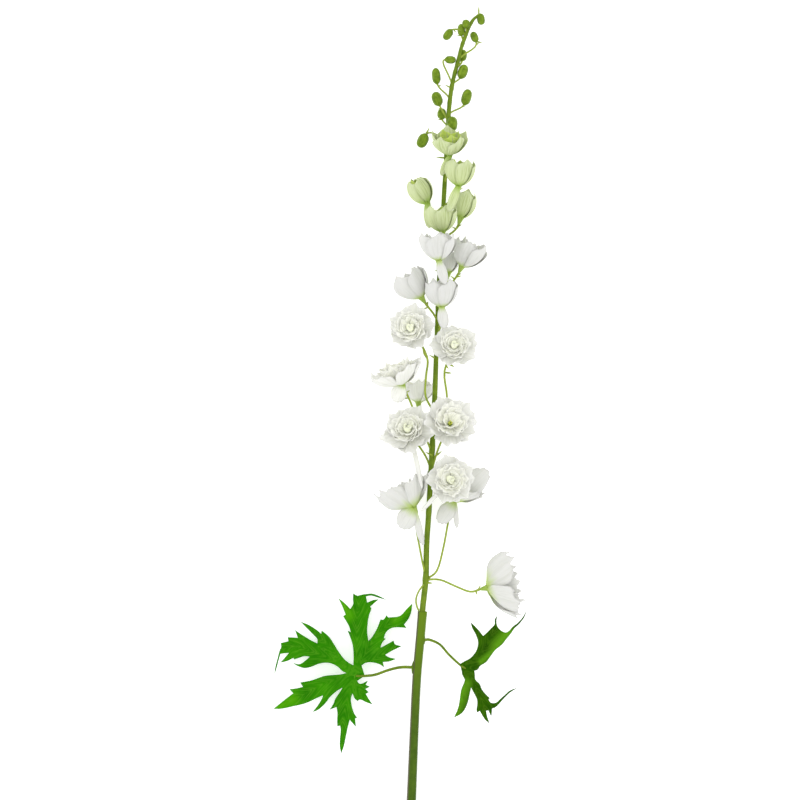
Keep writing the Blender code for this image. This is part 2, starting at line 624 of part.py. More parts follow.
LEAVES = [
    Leaf("leaf_left", (-45.0, -250.5, 20.0), LEFT_LOBES, LEFT_RIBS,
         [(13.1, -242.2, 13.5, 1.7), (0.5, -242.0, 17.0, 1.7), (-12.2, -244.8, 20.0, 1.7),
          (-25.0, -249.2, 21.5, 1.6), (-36.5, -250.5, 21.0, 1.5), (-44.0, -250.5, 20.0, 1.2)],
         14.0, 0.22),
    Leaf("leaf_right", (63.0, -242.0, 22.0), RIGHT_LOBES, RIGHT_RIBS,
         [(24.9, -214.6, 15.5, 1.7), (30.0, -214.5, 17.0, 1.7), (40.0, -219.0, 20.0, 1.6),
          (49.0, -229.0, 22.0, 1.5), (60.3, -239.4, 22.5, 1.4), (66.0, -243.0, 22.0, 1.0)],
         9.0, 0.5),
]


def rod(look):
    """The rod with everything that is moulded on it."""
    meshes = [tube(points_of(ROD), [row[3] for row in ROD], ROD_SIDES)]
    for foot, way, length, radius, height in BUDS:
        way = Vector(way).normalized()
        foot = Vector(foot)
        path = pedicel_path(height, foot + way * 1.5, way, 0.4)
        meshes.append(tube(path, [PEDICEL_RADIUS] * 5, PEDICEL_SIDES))
        meshes.append(bud(foot, way, length, radius))
    for bloom in BLOOMS:
        foot = bloom.seat - bloom.facing * CALYX_LENGTH
        path = pedicel_path(bloom.leaves_rod, foot, bloom.facing, bloom.reach, bloom.via)
        path.append(bloom.seat)
        radii = [1.5] + [PEDICEL_RADIUS] * 3 + [1.6, CALYX_RADIUS]
        meshes.append(tube(path, radii, PEDICEL_SIDES))
    for foot, way, length, width in BRACTS:
        meshes.append(bract(Vector(foot), Vector(way), length, width))
    meshes.append(tube(points_of(BARE_LOOP), [0.9] * len(BARE_LOOP), PEDICEL_SIDES))
    return joined("stem_upper", meshes, look, True)


def main():
    random.seed(SEED)
    clear_scene()
    white = material("white_petal", WHITE, 0.75)
    pale = material("pale_green_petal", PALE_GREEN, 0.7)
    green = material("rod_green", ROD_GREEN, 0.5)
    stalk(material("stalk_green", STALK_GREEN, 0.5))
    rod(green)
    for bloom in BLOOMS:
        joined(bloom.name, bloom.meshes(), pale if bloom.name.startswith("green") else white, True)
    leaf_looks = [material("leaf_green", LEAF_GREEN, 0.55), material("dark_leaf_green", DARK_LEAF_GREEN, 0.6)]
    for leaf, look in zip(LEAVES, leaf_looks):
        joined(leaf.name, leaf.meshes(), look, False)


main()
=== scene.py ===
# %% [markdown]
# # A cut delphinium stem, lying on a pale surface
#
# The real object is an artificial flower stem. A thick moulded stalk ends in a socket, a thinner
# rod is plugged into it, and fabric blooms, cups and small buds stand off the rod on stalks as
# thin as wire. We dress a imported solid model, so every piece here sits where the solid one is.

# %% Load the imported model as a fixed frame
import math
import random
from typing import NamedTuple

import bmesh
import bpy
from mathutils import Matrix, Vector
from mathutils.geometry import interpolate_bezier


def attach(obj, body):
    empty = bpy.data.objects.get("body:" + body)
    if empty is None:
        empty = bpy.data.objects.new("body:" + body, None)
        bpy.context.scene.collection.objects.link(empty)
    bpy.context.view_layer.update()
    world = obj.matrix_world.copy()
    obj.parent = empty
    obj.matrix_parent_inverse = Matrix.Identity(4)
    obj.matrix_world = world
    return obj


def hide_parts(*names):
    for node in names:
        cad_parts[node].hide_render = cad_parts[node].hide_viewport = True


MM = 0.001
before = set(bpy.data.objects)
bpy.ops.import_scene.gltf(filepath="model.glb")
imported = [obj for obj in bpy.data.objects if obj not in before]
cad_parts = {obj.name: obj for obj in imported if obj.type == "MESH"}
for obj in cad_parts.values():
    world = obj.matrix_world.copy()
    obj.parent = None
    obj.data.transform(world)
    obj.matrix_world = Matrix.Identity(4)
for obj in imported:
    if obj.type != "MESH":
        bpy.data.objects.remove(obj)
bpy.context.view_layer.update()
print("pieces in the frame:", len(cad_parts))

# %% [markdown]
# ## The camera
#
# The stem lies down, so the picture that a standing stem would give is taken from straight above.
# A long lens far away keeps the tall blooms from leaning outwards. A flat, orthographic camera
# would do this too, but a real lens is what a photographer would use, so we work out its length
# from the width of surface that has to fill the picture.

# %% Put the camera straight above
VIEW_WIDTH = 0.8
VIEW_CENTRE = (0.0, 0.026)
CAMERA_HEIGHT = 5.0
STEM_LEVEL = 0.03
camera_data = bpy.data.cameras.new("camera_above")
camera_data.sensor_width = 36.0
camera_data.lens = camera_data.sensor_width * (CAMERA_HEIGHT - STEM_LEVEL) / VIEW_WIDTH
camera = bpy.data.objects.new("camera_above", camera_data)
camera.location = (*VIEW_CENTRE, CAMERA_HEIGHT)
bpy.context.scene.collection.objects.link(camera)
bpy.context.scene.camera = camera
print("lens in mm:", round(camera_data.lens, 1))

# %% [markdown]
# ## Floor and light
#
# White petals on a white ground only show by their own soft shade. An even white world gives most
# of the light, as a light tent does, so no side of a bloom is dark. One weak, broad sun stands
# almost straight above, next to the camera, and reaches into the folds that the camera sees. A
# lamp from the side would draw more shape, but white blooms then turn grey in their hearts.

# %% Make the studio
WORLD_STRENGTH = 1.12
SUN_STRENGTH = 0.55
SUN_WIDTH = 60.0
SUN_TILT = (-4.0, -6.0, 0.0)


def even_world(strength):
    world = bpy.data.worlds.new("light_tent")
    world.use_nodes = True
    background = world.node_tree.nodes["Background"]
    background.inputs["Color"].default_value = (1.0, 1.0, 1.0, 1.0)
    background.inputs["Strength"].default_value = strength
    bpy.context.scene.world = world


def broad_sun(strength, width_degrees, tilt_degrees):
    data = bpy.data.lights.new("broad_sun", "SUN")
    data.energy = strength
    data.angle = math.radians(width_degrees)
    sun = bpy.data.objects.new("broad_sun", data)
    sun.rotation_euler = [math.radians(angle) for angle in tilt_degrees]
    bpy.context.scene.collection.objects.link(sun)


even_world(WORLD_STRENGTH)
broad_sun(SUN_STRENGTH, SUN_WIDTH, SUN_TILT)
bpy.context.scene.view_settings.view_transform = "Standard"
print("strength of world and sun:", WORLD_STRENGTH, SUN_STRENGTH)

# %% [markdown]
# ## Small helpers for materials
#
# Every finish below is a little network of nodes. The first helpers add a node and start a material
# or a node group. An input takes a number, a colour or what another node puts out, so one helper,
# feed, decides that for all the others.

# %% Helpers that start a node tree
def add_node(tree, kind, values=(), **settings):
    made = tree.nodes.new(kind)
    for name, value in settings.items():
        setattr(made, name, value)
    for name, value in dict(values).items():
        made.inputs[name].default_value = value
    return made


def feed(tree, socket, value):
    """Gives a socket a number, a colour or what another node puts out."""
    if isinstance(value, bpy.types.NodeSocket):
        tree.links.new(value, socket)
    elif isinstance(value, tuple):
        socket.default_value = (*value, 1.0)
    else:
        socket.default_value = value


def start_material(name, roughness, specular):
    made = bpy.data.materials.new(name)
    made.use_nodes = True
    tree = made.node_tree
    shader = tree.nodes["Principled BSDF"]
    shader.inputs["Roughness"].default_value = roughness
    shader.inputs["Specular IOR Level"].default_value = specular
    return made, tree, shader


def start_group(name, inputs, outputs):
    group = bpy.data.node_groups.new(name, "ShaderNodeTree")
    for label, value in inputs:
        socket = group.interface.new_socket(name=label, in_out="INPUT", socket_type="NodeSocketFloat")
        socket.default_value = value
    for label in outputs:
        group.interface.new_socket(name=label, in_out="OUTPUT", socket_type="NodeSocketFloat")
    start = group.nodes.new("NodeGroupInput")
    end = group.nodes.new("NodeGroupOutput")
    return group, start, end


def use_group(tree, group, values=()):
    made = tree.nodes.new("ShaderNodeGroup")
    made.node_tree = group
    for name, value in dict(values).items():
        made.inputs[name].default_value = value
    return made


print("a material can be started")

# %% [markdown]
# ## Helpers that calculate with masks
#
# A mask is a number from 0 to 1 that changes over the surface. Masks are added, multiplied, faded
# between two values and used to mix two colours. Writing each of these nodes out would fill a page
# for each material, and a helper that hands back what its node puts out lets them nest like sums.

# %% Helpers for masks and colours
def math_node(tree, operation, first, second=0.0):
    made = add_node(tree, "ShaderNodeMath", operation=operation)
    feed(tree, made.inputs[0], first)
    feed(tree, made.inputs[1], second)
    return made.outputs[0]


def mixed_colour(tree, mask, first, second):
    """A colour that goes from first to second as the mask goes from 0 to 1."""
    made = add_node(tree, "ShaderNodeMix", data_type="RGBA")
    colours = [socket for socket in made.inputs if socket.type == "RGBA"]
    feed(tree, made.inputs[0], mask)
    feed(tree, colours[0], first)
    feed(tree, colours[1], second)
    return made.outputs[2]


def faded(tree, value, start, end, smooth=True):
    """0 where the value is at start, going to 1 where it reaches end."""
    kind = "SMOOTHSTEP" if smooth else "LINEAR"
    made = add_node(tree, "ShaderNodeMapRange", interpolation_type=kind)
    feed(tree, made.inputs["Value"], value)
    feed(tree, made.inputs["From Min"], start)
    feed(tree, made.inputs["From Max"], end)
    return made.outputs["Result"]


print("masks can be added, multiplied, faded and mixed")

# %% [markdown]
# ## Helpers that read the surface
#
# A pattern has to hold on to the piece. It can read the piece's own UV map, or numbers that each
# point of the mesh carries, and a noise node turns such places into spots or lines.

# %% Helpers for places, noise and bumps
def noise_mask(tree, vector, scale, detail, roughness):
    made = add_node(tree, "ShaderNodeTexNoise", {"Detail": detail, "Roughness": roughness})
    feed(tree, made.inputs["Vector"], vector)
    feed(tree, made.inputs["Scale"], scale)
    return made.outputs["Fac"]


def parted(tree, vector):
    """The X, Y and Z of a vector."""
    made = add_node(tree, "ShaderNodeSeparateXYZ")
    feed(tree, made.inputs["Vector"], vector)
    return made.outputs


def joined(tree, x, y, z=0.0):
    made = add_node(tree, "ShaderNodeCombineXYZ")
    for socket, value in zip(made.inputs, (x, y, z)):
        feed(tree, socket, value)
    return made.outputs["Vector"]


def surface_uv(tree):
    """U and V of a piece's own map, as X and Y."""
    return parted(tree, add_node(tree, "ShaderNodeUVMap", uv_map="surface").outputs["UV"])


def point_number(tree, name):
    """A number that each point of the mesh carries under this name."""
    return add_node(tree, "ShaderNodeAttribute", attribute_name=name).outputs["Fac"]


def add_bump(tree, shader, height, strength, distance):
    bump = add_node(tree, "ShaderNodeBump", {"Strength": strength, "Distance": distance})
    feed(tree, bump.inputs["Height"], height)
    feed(tree, shader.inputs["Normal"], bump.outputs["Normal"])


print("patterns can read the surface")

# %% [markdown]
# ## Mottling
#
# Nothing here has one flat colour: moulded plastic and dyed cloth both vary a little from spot to
# spot. A noise on the object's own coordinates gives that, and because stalk, leaf and petal all
# need it, it is a node group with its spot size and contrast as inputs.

# %% Group: soft mottling
def mottle_group():
    group, start, end = start_group("soft_mottle", [("Size", 300.0), ("Contrast", 1.0)], ["Mask"])
    place = add_node(group, "ShaderNodeTexCoord").outputs["Object"]
    noise = noise_mask(group, place, start.outputs["Size"], 3.0, 0.6)
    centred = math_node(group, "SUBTRACT", noise, 0.5)
    stretched = math_node(group, "MULTIPLY", centred, start.outputs["Contrast"])
    feed(group, end.inputs["Mask"], math_node(group, "ADD", stretched, 0.5))
    return group


soft_mottle = mottle_group()
print("group:", soft_mottle.name)

# %% [markdown]
# ## Lines that follow a surface
#
# Petals, stalks and buds all carry fine lines that run from foot to tip. Each of our meshes starts
# as a grid with its own UV map, where U goes across or around and V goes along. Noise that is
# stretched a lot along V draws such lines, and they meet at the foot by themselves, because the
# petal is narrow there. The same group also gives a soft mask of the foot, for the green base.

# %% Group: lines from foot to tip
def line_group():
    inputs = [("Lines", 18.0), ("Foot", 0.3)]
    group, start, end = start_group("foot_to_tip_lines", inputs, ["Lines", "Foot", "Along"])
    uv = surface_uv(group)
    across = math_node(group, "MULTIPLY", uv["X"], start.outputs["Lines"])
    along = math_node(group, "MULTIPLY", uv["Y"], 1.1)
    shifted = math_node(group, "MULTIPLY", point_number(group, "tone"), 40.0)
    noise = noise_mask(group, joined(group, across, along, shifted), 1.0, 3.0, 0.55)
    wobble = math_node(group, "MULTIPLY", math_node(group, "SUBTRACT", noise, 0.5), 0.35)
    height = math_node(group, "ADD", uv["Y"], wobble)
    feed(group, end.inputs["Lines"], noise)
    feed(group, end.inputs["Foot"], faded(group, height, start.outputs["Foot"], 0.0))
    feed(group, end.inputs["Along"], uv["Y"])
    return group


foot_to_tip_lines = line_group()
print("group:", foot_to_tip_lines.name)

# %% [markdown]
# ## Petal cloth
#
# The petals are thin dyed cloth: matt, with pressed lines and a green foot. Light scatters inside a
# real petal. Over a long way that scattering loses light in a sheet this thin and turns it grey,
# and so does a see-through shader, so the scattering here is weak and very short. Light then
# bounces from petal to petal, and the blooms stay bright. One recipe makes four cloths: white for
# open blooms, for blooms seen from the side and for cups, and a pale green. The white for open
# blooms is painted lighter than the other two, painted fill light for the shade that their inner
# petals throw. Each point of a petal carries a number, heart, which is 0 in the outer ring, 1 in the
# heart and 2 in its closed core. In the white of open blooms the heart is painted lighter still,
# painted fill light for the shade deep between its petals, and in all cloths the closed core is a
# pale yellow-green. In the whites the body is also painted a little lighter than the tip, painted
# fill light towards the deeper part of each petal.

# %% Materials: four petal cloths
PETAL_ROUGHNESS = 0.8
PETAL_GLOSS = 0.1
SCATTER = {
    "Subsurface Weight": 0.3,
    "Subsurface Radius": (1.0, 1.0, 0.9),
    "Subsurface Scale": 0.001,
}
VEINS_START = 0.45
VEINS_FULL = 0.68
HEART_CORE = (0.88, 0.92, 0.68)
WHITE_FOOT = (0.40, 0.53, 0.11)
# Painted fill light: the open white is lighter than the other whites, and its heart lighter still, to lift
# the shade inside open blooms.
OPEN_WHITE_PAINTED_FILL = {
    "tip": (0.77, 0.77, 0.74),
    "body": (0.79, 0.795, 0.73),
    "heart": (0.90, 0.905, 0.80),
    "foot": WHITE_FOOT,
}
SOFT_WHITE = {
    "tip": (0.645, 0.645, 0.625),
    "body": (0.67, 0.675, 0.635),
    "heart": (0.67, 0.675, 0.635),
    "foot": WHITE_FOOT,
}
PALE_GREEN = {
    "tip": (0.56, 0.62, 0.38),
    "body": (0.53, 0.62, 0.28),
    "heart": (0.50, 0.62, 0.13),
    "foot": (0.30, 0.45, 0.07),
}


def petal_cloth(name, colours, foot_end, lines, vein=0.90):
    """The green foot ends at foot_end of the length. Veins are as dark as vein times the body."""
    made, tree, shader = start_material(name, PETAL_ROUGHNESS, PETAL_GLOSS)
    for label, value in SCATTER.items():
        shader.inputs[label].default_value = value
    pressed = use_group(tree, foot_to_tip_lines, {"Lines": lines, "Foot": foot_end})
    heart = point_number(tree, "heart")
    # Painted fill light: in the whites the body is a little lighter than the tip, towards the deeper part
    # of each petal.
    ground = mixed_colour(tree, pressed.outputs["Along"], colours["body"], colours["tip"])
    # Painted fill light: the heart colour is lighter in the open white, to lift the shade between the inner
    # petals. In the pale green it is a greener tint.
    heart_tint_and_painted_fill = mixed_colour(tree, heart, ground, colours["heart"])
    cored = mixed_colour(tree, math_node(tree, "SUBTRACT", heart, 1.0), heart_tint_and_painted_fill, HEART_CORE)
    mottle = use_group(tree, soft_mottle, {"Size": 120.0, "Contrast": 1.2})
    patchy = math_node(tree, "ADD", mottle.outputs["Mask"], 0.5)
    veins = faded(tree, pressed.outputs["Lines"], VEINS_START, VEINS_FULL)
    vein_colour = tuple(vein * value for value in colours["body"])
    veined = mixed_colour(tree, math_node(tree, "MULTIPLY", veins, patchy), cored, vein_colour)
    outer = math_node(tree, "SUBTRACT", 1.0, heart)
    green = math_node(tree, "MULTIPLY", pressed.outputs["Foot"], outer)
    feed(tree, shader.inputs["Base Color"], mixed_colour(tree, green, veined, colours["foot"]))
    weave = use_group(tree, soft_mottle, {"Size": 1400.0, "Contrast": 1.0})
    fine = math_node(tree, "MULTIPLY", weave.outputs["Mask"], 0.15)
    height = math_node(tree, "ADD", pressed.outputs["Lines"], fine)
    add_bump(tree, shader, height, strength=0.25, distance=0.0012)
    return made


# Open blooms get the white that is painted lighter, painted fill light for their shaded inner petals.
open_cloth_painted_fill = petal_cloth("open_petal_cloth_painted_fill", OPEN_WHITE_PAINTED_FILL, 0.30, 16.0)
side_cloth = petal_cloth("side_petal_cloth", SOFT_WHITE, 0.50, 16.0)
cup_cloth = petal_cloth("cup_petal_cloth", SOFT_WHITE, 0.30, 12.0)
pale_cloth = petal_cloth("pale_petal_cloth", PALE_GREEN, 0.34, 12.0, 0.78)
print("petal materials:", open_cloth_painted_fill.name, side_cloth.name, cup_cloth.name, pale_cloth.name)

# %% [markdown]
# ## Moulded green plastic
#
# Stalk, rod, small stalks, calyxes and buds are one soft plastic in five greens. They share the
# lines that run along them, as faint ridges, and the mottling. The stalk is paler towards its
# socket and has a darker brownish strip down its left side. A mask on X in the object's own
# coordinates would slide off a leaning stalk, so the strip follows U, the way around it. The paler
# end may follow Y, because the stalk runs along it.

# %% Materials: stalk, rod, small stalks, calyxes and buds
PLASTIC_ROUGHNESS = 0.45
PLASTIC_GLOSS = 0.08
PALE_END = (0.118, 0.205, 0.008)
PALE_END_START = -0.30
PALE_END_FULL = -0.19
STALK_BROWN = (0.098, 0.090, 0.052)
BROWN_MIDDLE = 0.80
BROWN_HALF_WIDTH = 0.11


def moulded_green(name, light, dark, lines, spots, roughness=PLASTIC_ROUGHNESS):
    """Lines is how many ridges go round, and spots is how many spots there are to a metre."""
    made, tree, shader = start_material(name, roughness, PLASTIC_GLOSS)
    ridges = use_group(tree, foot_to_tip_lines, {"Lines": lines, "Foot": 0.1})
    mottle = use_group(tree, soft_mottle, {"Size": spots, "Contrast": 1.6})
    both = math_node(tree, "MULTIPLY", ridges.outputs["Lines"], mottle.outputs["Mask"])
    colour = mixed_colour(tree, math_node(tree, "MULTIPLY", both, 2.4), dark, light)
    feed(tree, shader.inputs["Base Color"], colour)
    add_bump(tree, shader, ridges.outputs["Lines"], strength=0.45, distance=0.0010)
    return made, tree, shader, colour


def with_pale_end(tree, colour):
    """Fades to a paler colour along the stalk, between two places in metres."""
    place = parted(tree, add_node(tree, "ShaderNodeTexCoord").outputs["Object"])
    fade = faded(tree, place["Y"], PALE_END_START, PALE_END_FULL, smooth=False)
    return mixed_colour(tree, fade, colour, PALE_END)


def with_brown_strip(tree, colour):
    """Colours the strip where U is near the middle of the brown."""
    from_middle = math_node(tree, "SUBTRACT", surface_uv(tree)["X"], BROWN_MIDDLE)
    away = math_node(tree, "ABSOLUTE", from_middle)
    strip = faded(tree, away, BROWN_HALF_WIDTH, BROWN_HALF_WIDTH * 0.4)
    return mixed_colour(tree, strip, colour, STALK_BROWN)


stalk_plastic, tree, shader, colour = moulded_green(
    "stalk_plastic", (0.069, 0.130, 0.009), (0.039, 0.082, 0.004), 14.0, 160.0
)
feed(tree, shader.inputs["Base Color"], with_brown_strip(tree, with_pale_end(tree, colour)))
rod_plastic = moulded_green("rod_plastic", (0.172, 0.255, 0.020), (0.082, 0.147, 0.008), 9.0, 130.0)[0]
small_stalk_plastic = moulded_green(
    "small_stalk_plastic", (0.33, 0.41, 0.06), (0.20, 0.29, 0.028), 5.0, 200.0
)[0]
calyx_plastic = moulded_green("calyx_plastic", (0.36, 0.48, 0.11), (0.22, 0.35, 0.045), 5.0, 300.0)[0]
bud_plastic = moulded_green("bud_plastic", (0.195, 0.300, 0.022), (0.062, 0.118, 0.004), 11.0, 260.0)[0]
greens = [stalk_plastic, rod_plastic, small_stalk_plastic, calyx_plastic, bud_plastic]
print("plastic materials:", [green.name for green in greens])

# %% [markdown]
# ## Leaf cloth
#
# The leaves are coated cloth with a pale rib down each lobe and faint veins beside it. Drawing
# veins by hand in a texture would need an image, so the leaf mesh carries a few numbers for each
# point instead: how far the nearest rib is, how far along that rib it lies, and how much of a
# painted highlight the lobe gets, where it is painted lighter as if turned to the light. Noise that
# is stretched along the rib then draws the veins.

# %% Materials: two leaf greens
LEAF_ROUGHNESS = 0.65
LEAF_GLOSS = 0.02
RIB_WIDTH = 0.8


def leaf_veins(tree):
    """A mask of the ribs and of the veins that slant away from them."""
    away = point_number(tree, "rib_distance")
    along = point_number(tree, "rib_along")
    outwards = math_node(tree, "MULTIPLY", away, 0.75)
    slanted = math_node(tree, "SUBTRACT", outwards, math_node(tree, "MULTIPLY", along, 0.30))
    noise = noise_mask(tree, joined(tree, slanted, math_node(tree, "MULTIPLY", along, 0.05)), 1.0, 2.0, 0.5)
    veins = math_node(tree, "MULTIPLY", math_node(tree, "SUBTRACT", noise, 0.46), 1.8)
    ribs = math_node(tree, "MULTIPLY", faded(tree, away, RIB_WIDTH, 0.0), 0.6)
    return math_node(tree, "MAXIMUM", ribs, veins)


def leaf_cloth(name, light, dark, rib, turned, spots):
    """Turned is a lighter colour that is painted on lobes as a painted highlight, as if they were turned to
    the light.
    """
    made, tree, shader = start_material(name, LEAF_ROUGHNESS, LEAF_GLOSS)
    lines = leaf_veins(tree)
    mottle = use_group(tree, soft_mottle, {"Size": spots, "Contrast": 2.6})
    ground = mixed_colour(tree, mottle.outputs["Mask"], dark, light)
    # Painted highlight: lobes in a lit strip are painted lighter, as if turned to the light.
    painted_highlight = mixed_colour(tree, point_number(tree, "turned"), ground, turned)
    feed(tree, shader.inputs["Base Color"], mixed_colour(tree, lines, painted_highlight, rib))
    grain = use_group(tree, soft_mottle, {"Size": 1600.0, "Contrast": 0.4})
    height = math_node(tree, "SUBTRACT", grain.outputs["Mask"], math_node(tree, "MULTIPLY", lines, 2.0))
    add_bump(tree, shader, height, strength=0.5, distance=0.0006)
    return made


bright_leaf_cloth = leaf_cloth(
    "bright_leaf_cloth", (0.033, 0.244, 0.0005), (0.015, 0.160, 0.0004), (0.11, 0.36, 0.015),
    (0.066, 0.315, 0.001), 45.0
)
dark_leaf_cloth = leaf_cloth(
    "dark_leaf_cloth", (0.030, 0.114, 0.0005), (0.013, 0.067, 0.0003), (0.09, 0.20, 0.010),
    (0.100, 0.300, 0.008), 90.0
)
print("leaf materials:", bright_leaf_cloth.name, dark_leaf_cloth.name)

# %% [markdown]
# ## Floor
#
# The floor is one large plane just under the stem. It is staged, so it isn't part of the object.
# A product photo on white is taken on a sheet that is lit from below as well, so the floor glows a
# little, which takes the shadows away.

# %% Make the floor
FLOOR_GLOW = 0.35
FLOOR_HALF_SIZE = 8.0
FLOOR_DROP = 0.0002


def make_floor(half_size, drop):
    mesh = bmesh.new()
    bmesh.ops.create_grid(mesh, x_segments=1, y_segments=1, size=half_size)
    bmesh.ops.translate(mesh, vec=(0.0, 0.0, -drop), verts=mesh.verts)
    data = bpy.data.meshes.new("pale_floor")
    mesh.to_mesh(data)
    mesh.free()
    floor = bpy.data.objects.new("pale_floor", data)
    bpy.context.scene.collection.objects.link(floor)
    look, tree, shader = start_material("pale_floor_paint", 0.9, 0.0)
    paint = use_group(tree, soft_mottle, {"Size": 3.0, "Contrast": 0.3})
    colour = mixed_colour(tree, paint.outputs["Mask"], (0.93, 0.93, 0.93), (0.95, 0.95, 0.95))
    feed(tree, shader.inputs["Base Color"], colour)
    shader.inputs["Emission Color"].default_value = (1.0, 1.0, 1.0, 1.0)
    shader.inputs["Emission Strength"].default_value = FLOOR_GLOW
    data.materials.append(look)
    return floor


floor = make_floor(FLOOR_HALF_SIZE, FLOOR_DROP)
print("floor is", floor.dimensions.x, "m wide")

# %% [markdown]
# ## From a sheet to a piece
#
# All shapes are worked out in millimetres and start as a flat grid, which brings its UV map along.
# A function then moves each point: round a path for a stalk, over a bowl for a petal. That keeps
# the mesh an even net, where drawing faces one by one would not. Each point also gets a number for
# its tone and one for how deep in the heart of a bloom it is.

# %% Helpers that build a sheet
def start_mesh():
    mesh = bmesh.new()
    mesh.loops.layers.uv.new("surface")
    mesh.verts.layers.float.new("tone")
    mesh.verts.layers.float.new("heart")
    return mesh


def add_sheet(mesh, columns, rows, place, tone, heart=0.0):
    """A grid whose points go where place puts them, for s from -1 to 1 and u from 0 to 1."""
    made = bmesh.ops.create_grid(mesh, x_segments=columns, y_segments=rows, size=0.5, calc_uvs=True)
    shade = mesh.verts.layers.float["tone"]
    depth = mesh.verts.layers.float["heart"]
    for vertex in made["verts"]:
        vertex[shade] = tone
        vertex[depth] = heart
        vertex.co = place(2.0 * vertex.co.x, vertex.co.y + 0.5)
    return made["verts"]


print("a sheet can be made")

# %% [markdown]
# ## Paths and tubes
#
# Stalk, rod, small stalks, buds and stamens are all tubes on a flowing path. A curve object with a
# round bevel could do this too, but its ends and its UV map are harder to control. We carry one
# direction along the path and turn it as little as may be, so the tube doesn't twist.

# %% Helpers that build tubes
def smooth_path(points, steps):
    """A flowing curve through all the points, with some steps between each two."""
    ends = [points[0] * 2.0 - points[1], *points, points[-1] * 2.0 - points[-2]]
    flowing = []
    for before, start, end, after in zip(ends, ends[1:], ends[2:], ends[3:]):
        leaving = (end - before) * 0.5
        arriving = (after - start) * 0.5
        for k in range(steps):
            t = k / steps
            point = start.lerp(end, t * t * (3.0 - 2.0 * t))
            point += leaving * (t * (1.0 - t) ** 2) - arriving * (t * t * (1.0 - t))
            flowing.append(point)
    flowing.append(points[-1])
    return flowing


def ring_directions(path):
    """The two directions of the ring at each point of a path, turned as little as may be."""
    first = (path[1] - path[0]).normalized()
    across = Vector((1.0, 0.0, 0.0)) if abs(first.z) > 0.9 else Vector((0.0, 0.0, 1.0))
    rings = []
    for k in range(len(path)):
        way = (path[min(k + 1, len(path) - 1)] - path[max(k - 1, 0)]).normalized()
        across = (across - way * across.dot(way)).normalized()
        rings.append((across.copy(), way.cross(across)))
    return rings


def add_tube(mesh, path, radii, sides, tone=0.5, flat=1.0, ridges=0, depth=0.0):
    """A closed tube along a path, with its two end faces. Flat below 1 squashes it."""
    rings = ring_directions(path)
    last = len(path) - 1

    def place(s, u):
        turn = math.pi * (s + 1.0)
        k = round(u * last)
        side, up = rings[k]
        radius = radii[k] * (1.0 - depth * (0.5 + 0.5 * math.cos(ridges * turn)))
        return path[k] + (side * (math.cos(turn) * flat) + up * math.sin(turn)) * radius

    made = add_sheet(mesh, sides, last, place, tone)
    bmesh.ops.remove_doubles(mesh, verts=made, dist=0.0005)
    left = [vertex for vertex in made if vertex.is_valid]
    rims = {edge for vertex in left for edge in vertex.link_edges if edge.is_boundary}
    ends = bmesh.ops.holes_fill(mesh, edges=list(rims), sides=0)["faces"]
    walls = {face for vertex in left for face in vertex.link_faces}
    bmesh.ops.recalc_face_normals(mesh, faces=list(walls))
    return ends


print("a tube can be made")

# %% [markdown]
# ## Finishing a piece
#
# Each mesh is scaled to metres and becomes an object with its material, which rides on the stem's
# one body. Sheets get their thickness from a Solidify modifier. The solid piece that it stands for,
# if there is one, is hidden.

# %% Helper that finishes a piece
def finish_piece(name, mesh, look, slot, nodes=(), thickness=0.0):
    """Scales a mesh to metres and makes it a piece that rides on the stem."""
    bmesh.ops.scale(mesh, vec=(MM, MM, MM), verts=mesh.verts)
    data = bpy.data.meshes.new(name)
    mesh.to_mesh(data)
    mesh.free()
    for face in data.polygons:
        face.use_smooth = True
    piece = bpy.data.objects.new(name, data)
    bpy.context.scene.collection.objects.link(piece)
    data.materials.append(look)
    if thickness:
        wall = piece.modifiers.new("cloth", "SOLIDIFY")
        wall.thickness = thickness * MM
        wall.offset = 0.0
    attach(piece, "root")
    if nodes:
        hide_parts(*nodes)
    return piece


print("a mesh can be made a piece")

# %% [markdown]
# ## The stalk
#
# The stalk is a plain round tube that a mould would give, with a wider collar at its top where the
# rod is plugged in. We roll a grid into the tube. For the socket we inset the end face and push it
# down into the stalk, which is quicker than a boolean cut and leaves a clean rim to bevel. The stem
# lies on its cut end, and what would go under the surface there is pressed flat.

# %% Build the stalk with its socket
STALK = [
    (9.6, -423.0, 4.47, 4.7),
    (10.1, -408.0, 4.47, 4.7),
    (11.5, -374.0, 6.0, 4.65),
    (14.2, -307.0, 9.5, 4.4),
    (16.8, -253.0, 12.6, 4.4),
    (20.2, -214.0, 15.0, 4.5),
    (22.0, -193.0, 16.3, 4.6),
    (22.6, -186.0, 16.8, 4.9),
]
SOCKET_DEPTH = 10.3
RIM = 1.2
RIM_REACH = 5.2
RIM_ROUNDING = 0.22
SHARP_EDGE = 1.0
LEAF_SOCKETS = [
    [(12.9, -248.5, 13.6, 0.8), (13.0, -244.5, 13.9, 1.5),
     (13.2, -240.0, 14.2, 1.4), (13.9, -236.0, 14.4, 0.7)],
    [(23.4, -219.5, 15.0, 0.8), (23.7, -216.5, 15.4, 1.5),
     (24.0, -212.5, 15.7, 1.4), (23.6, -209.0, 15.8, 0.7)],
]


def split_rows(rows, steps):
    """A flowing path and its radii from rows of x, y, z and radius."""
    flowing = smooth_path([Vector(row) for row in rows], steps)
    return [point.xyz for point in flowing], [point.w for point in flowing]


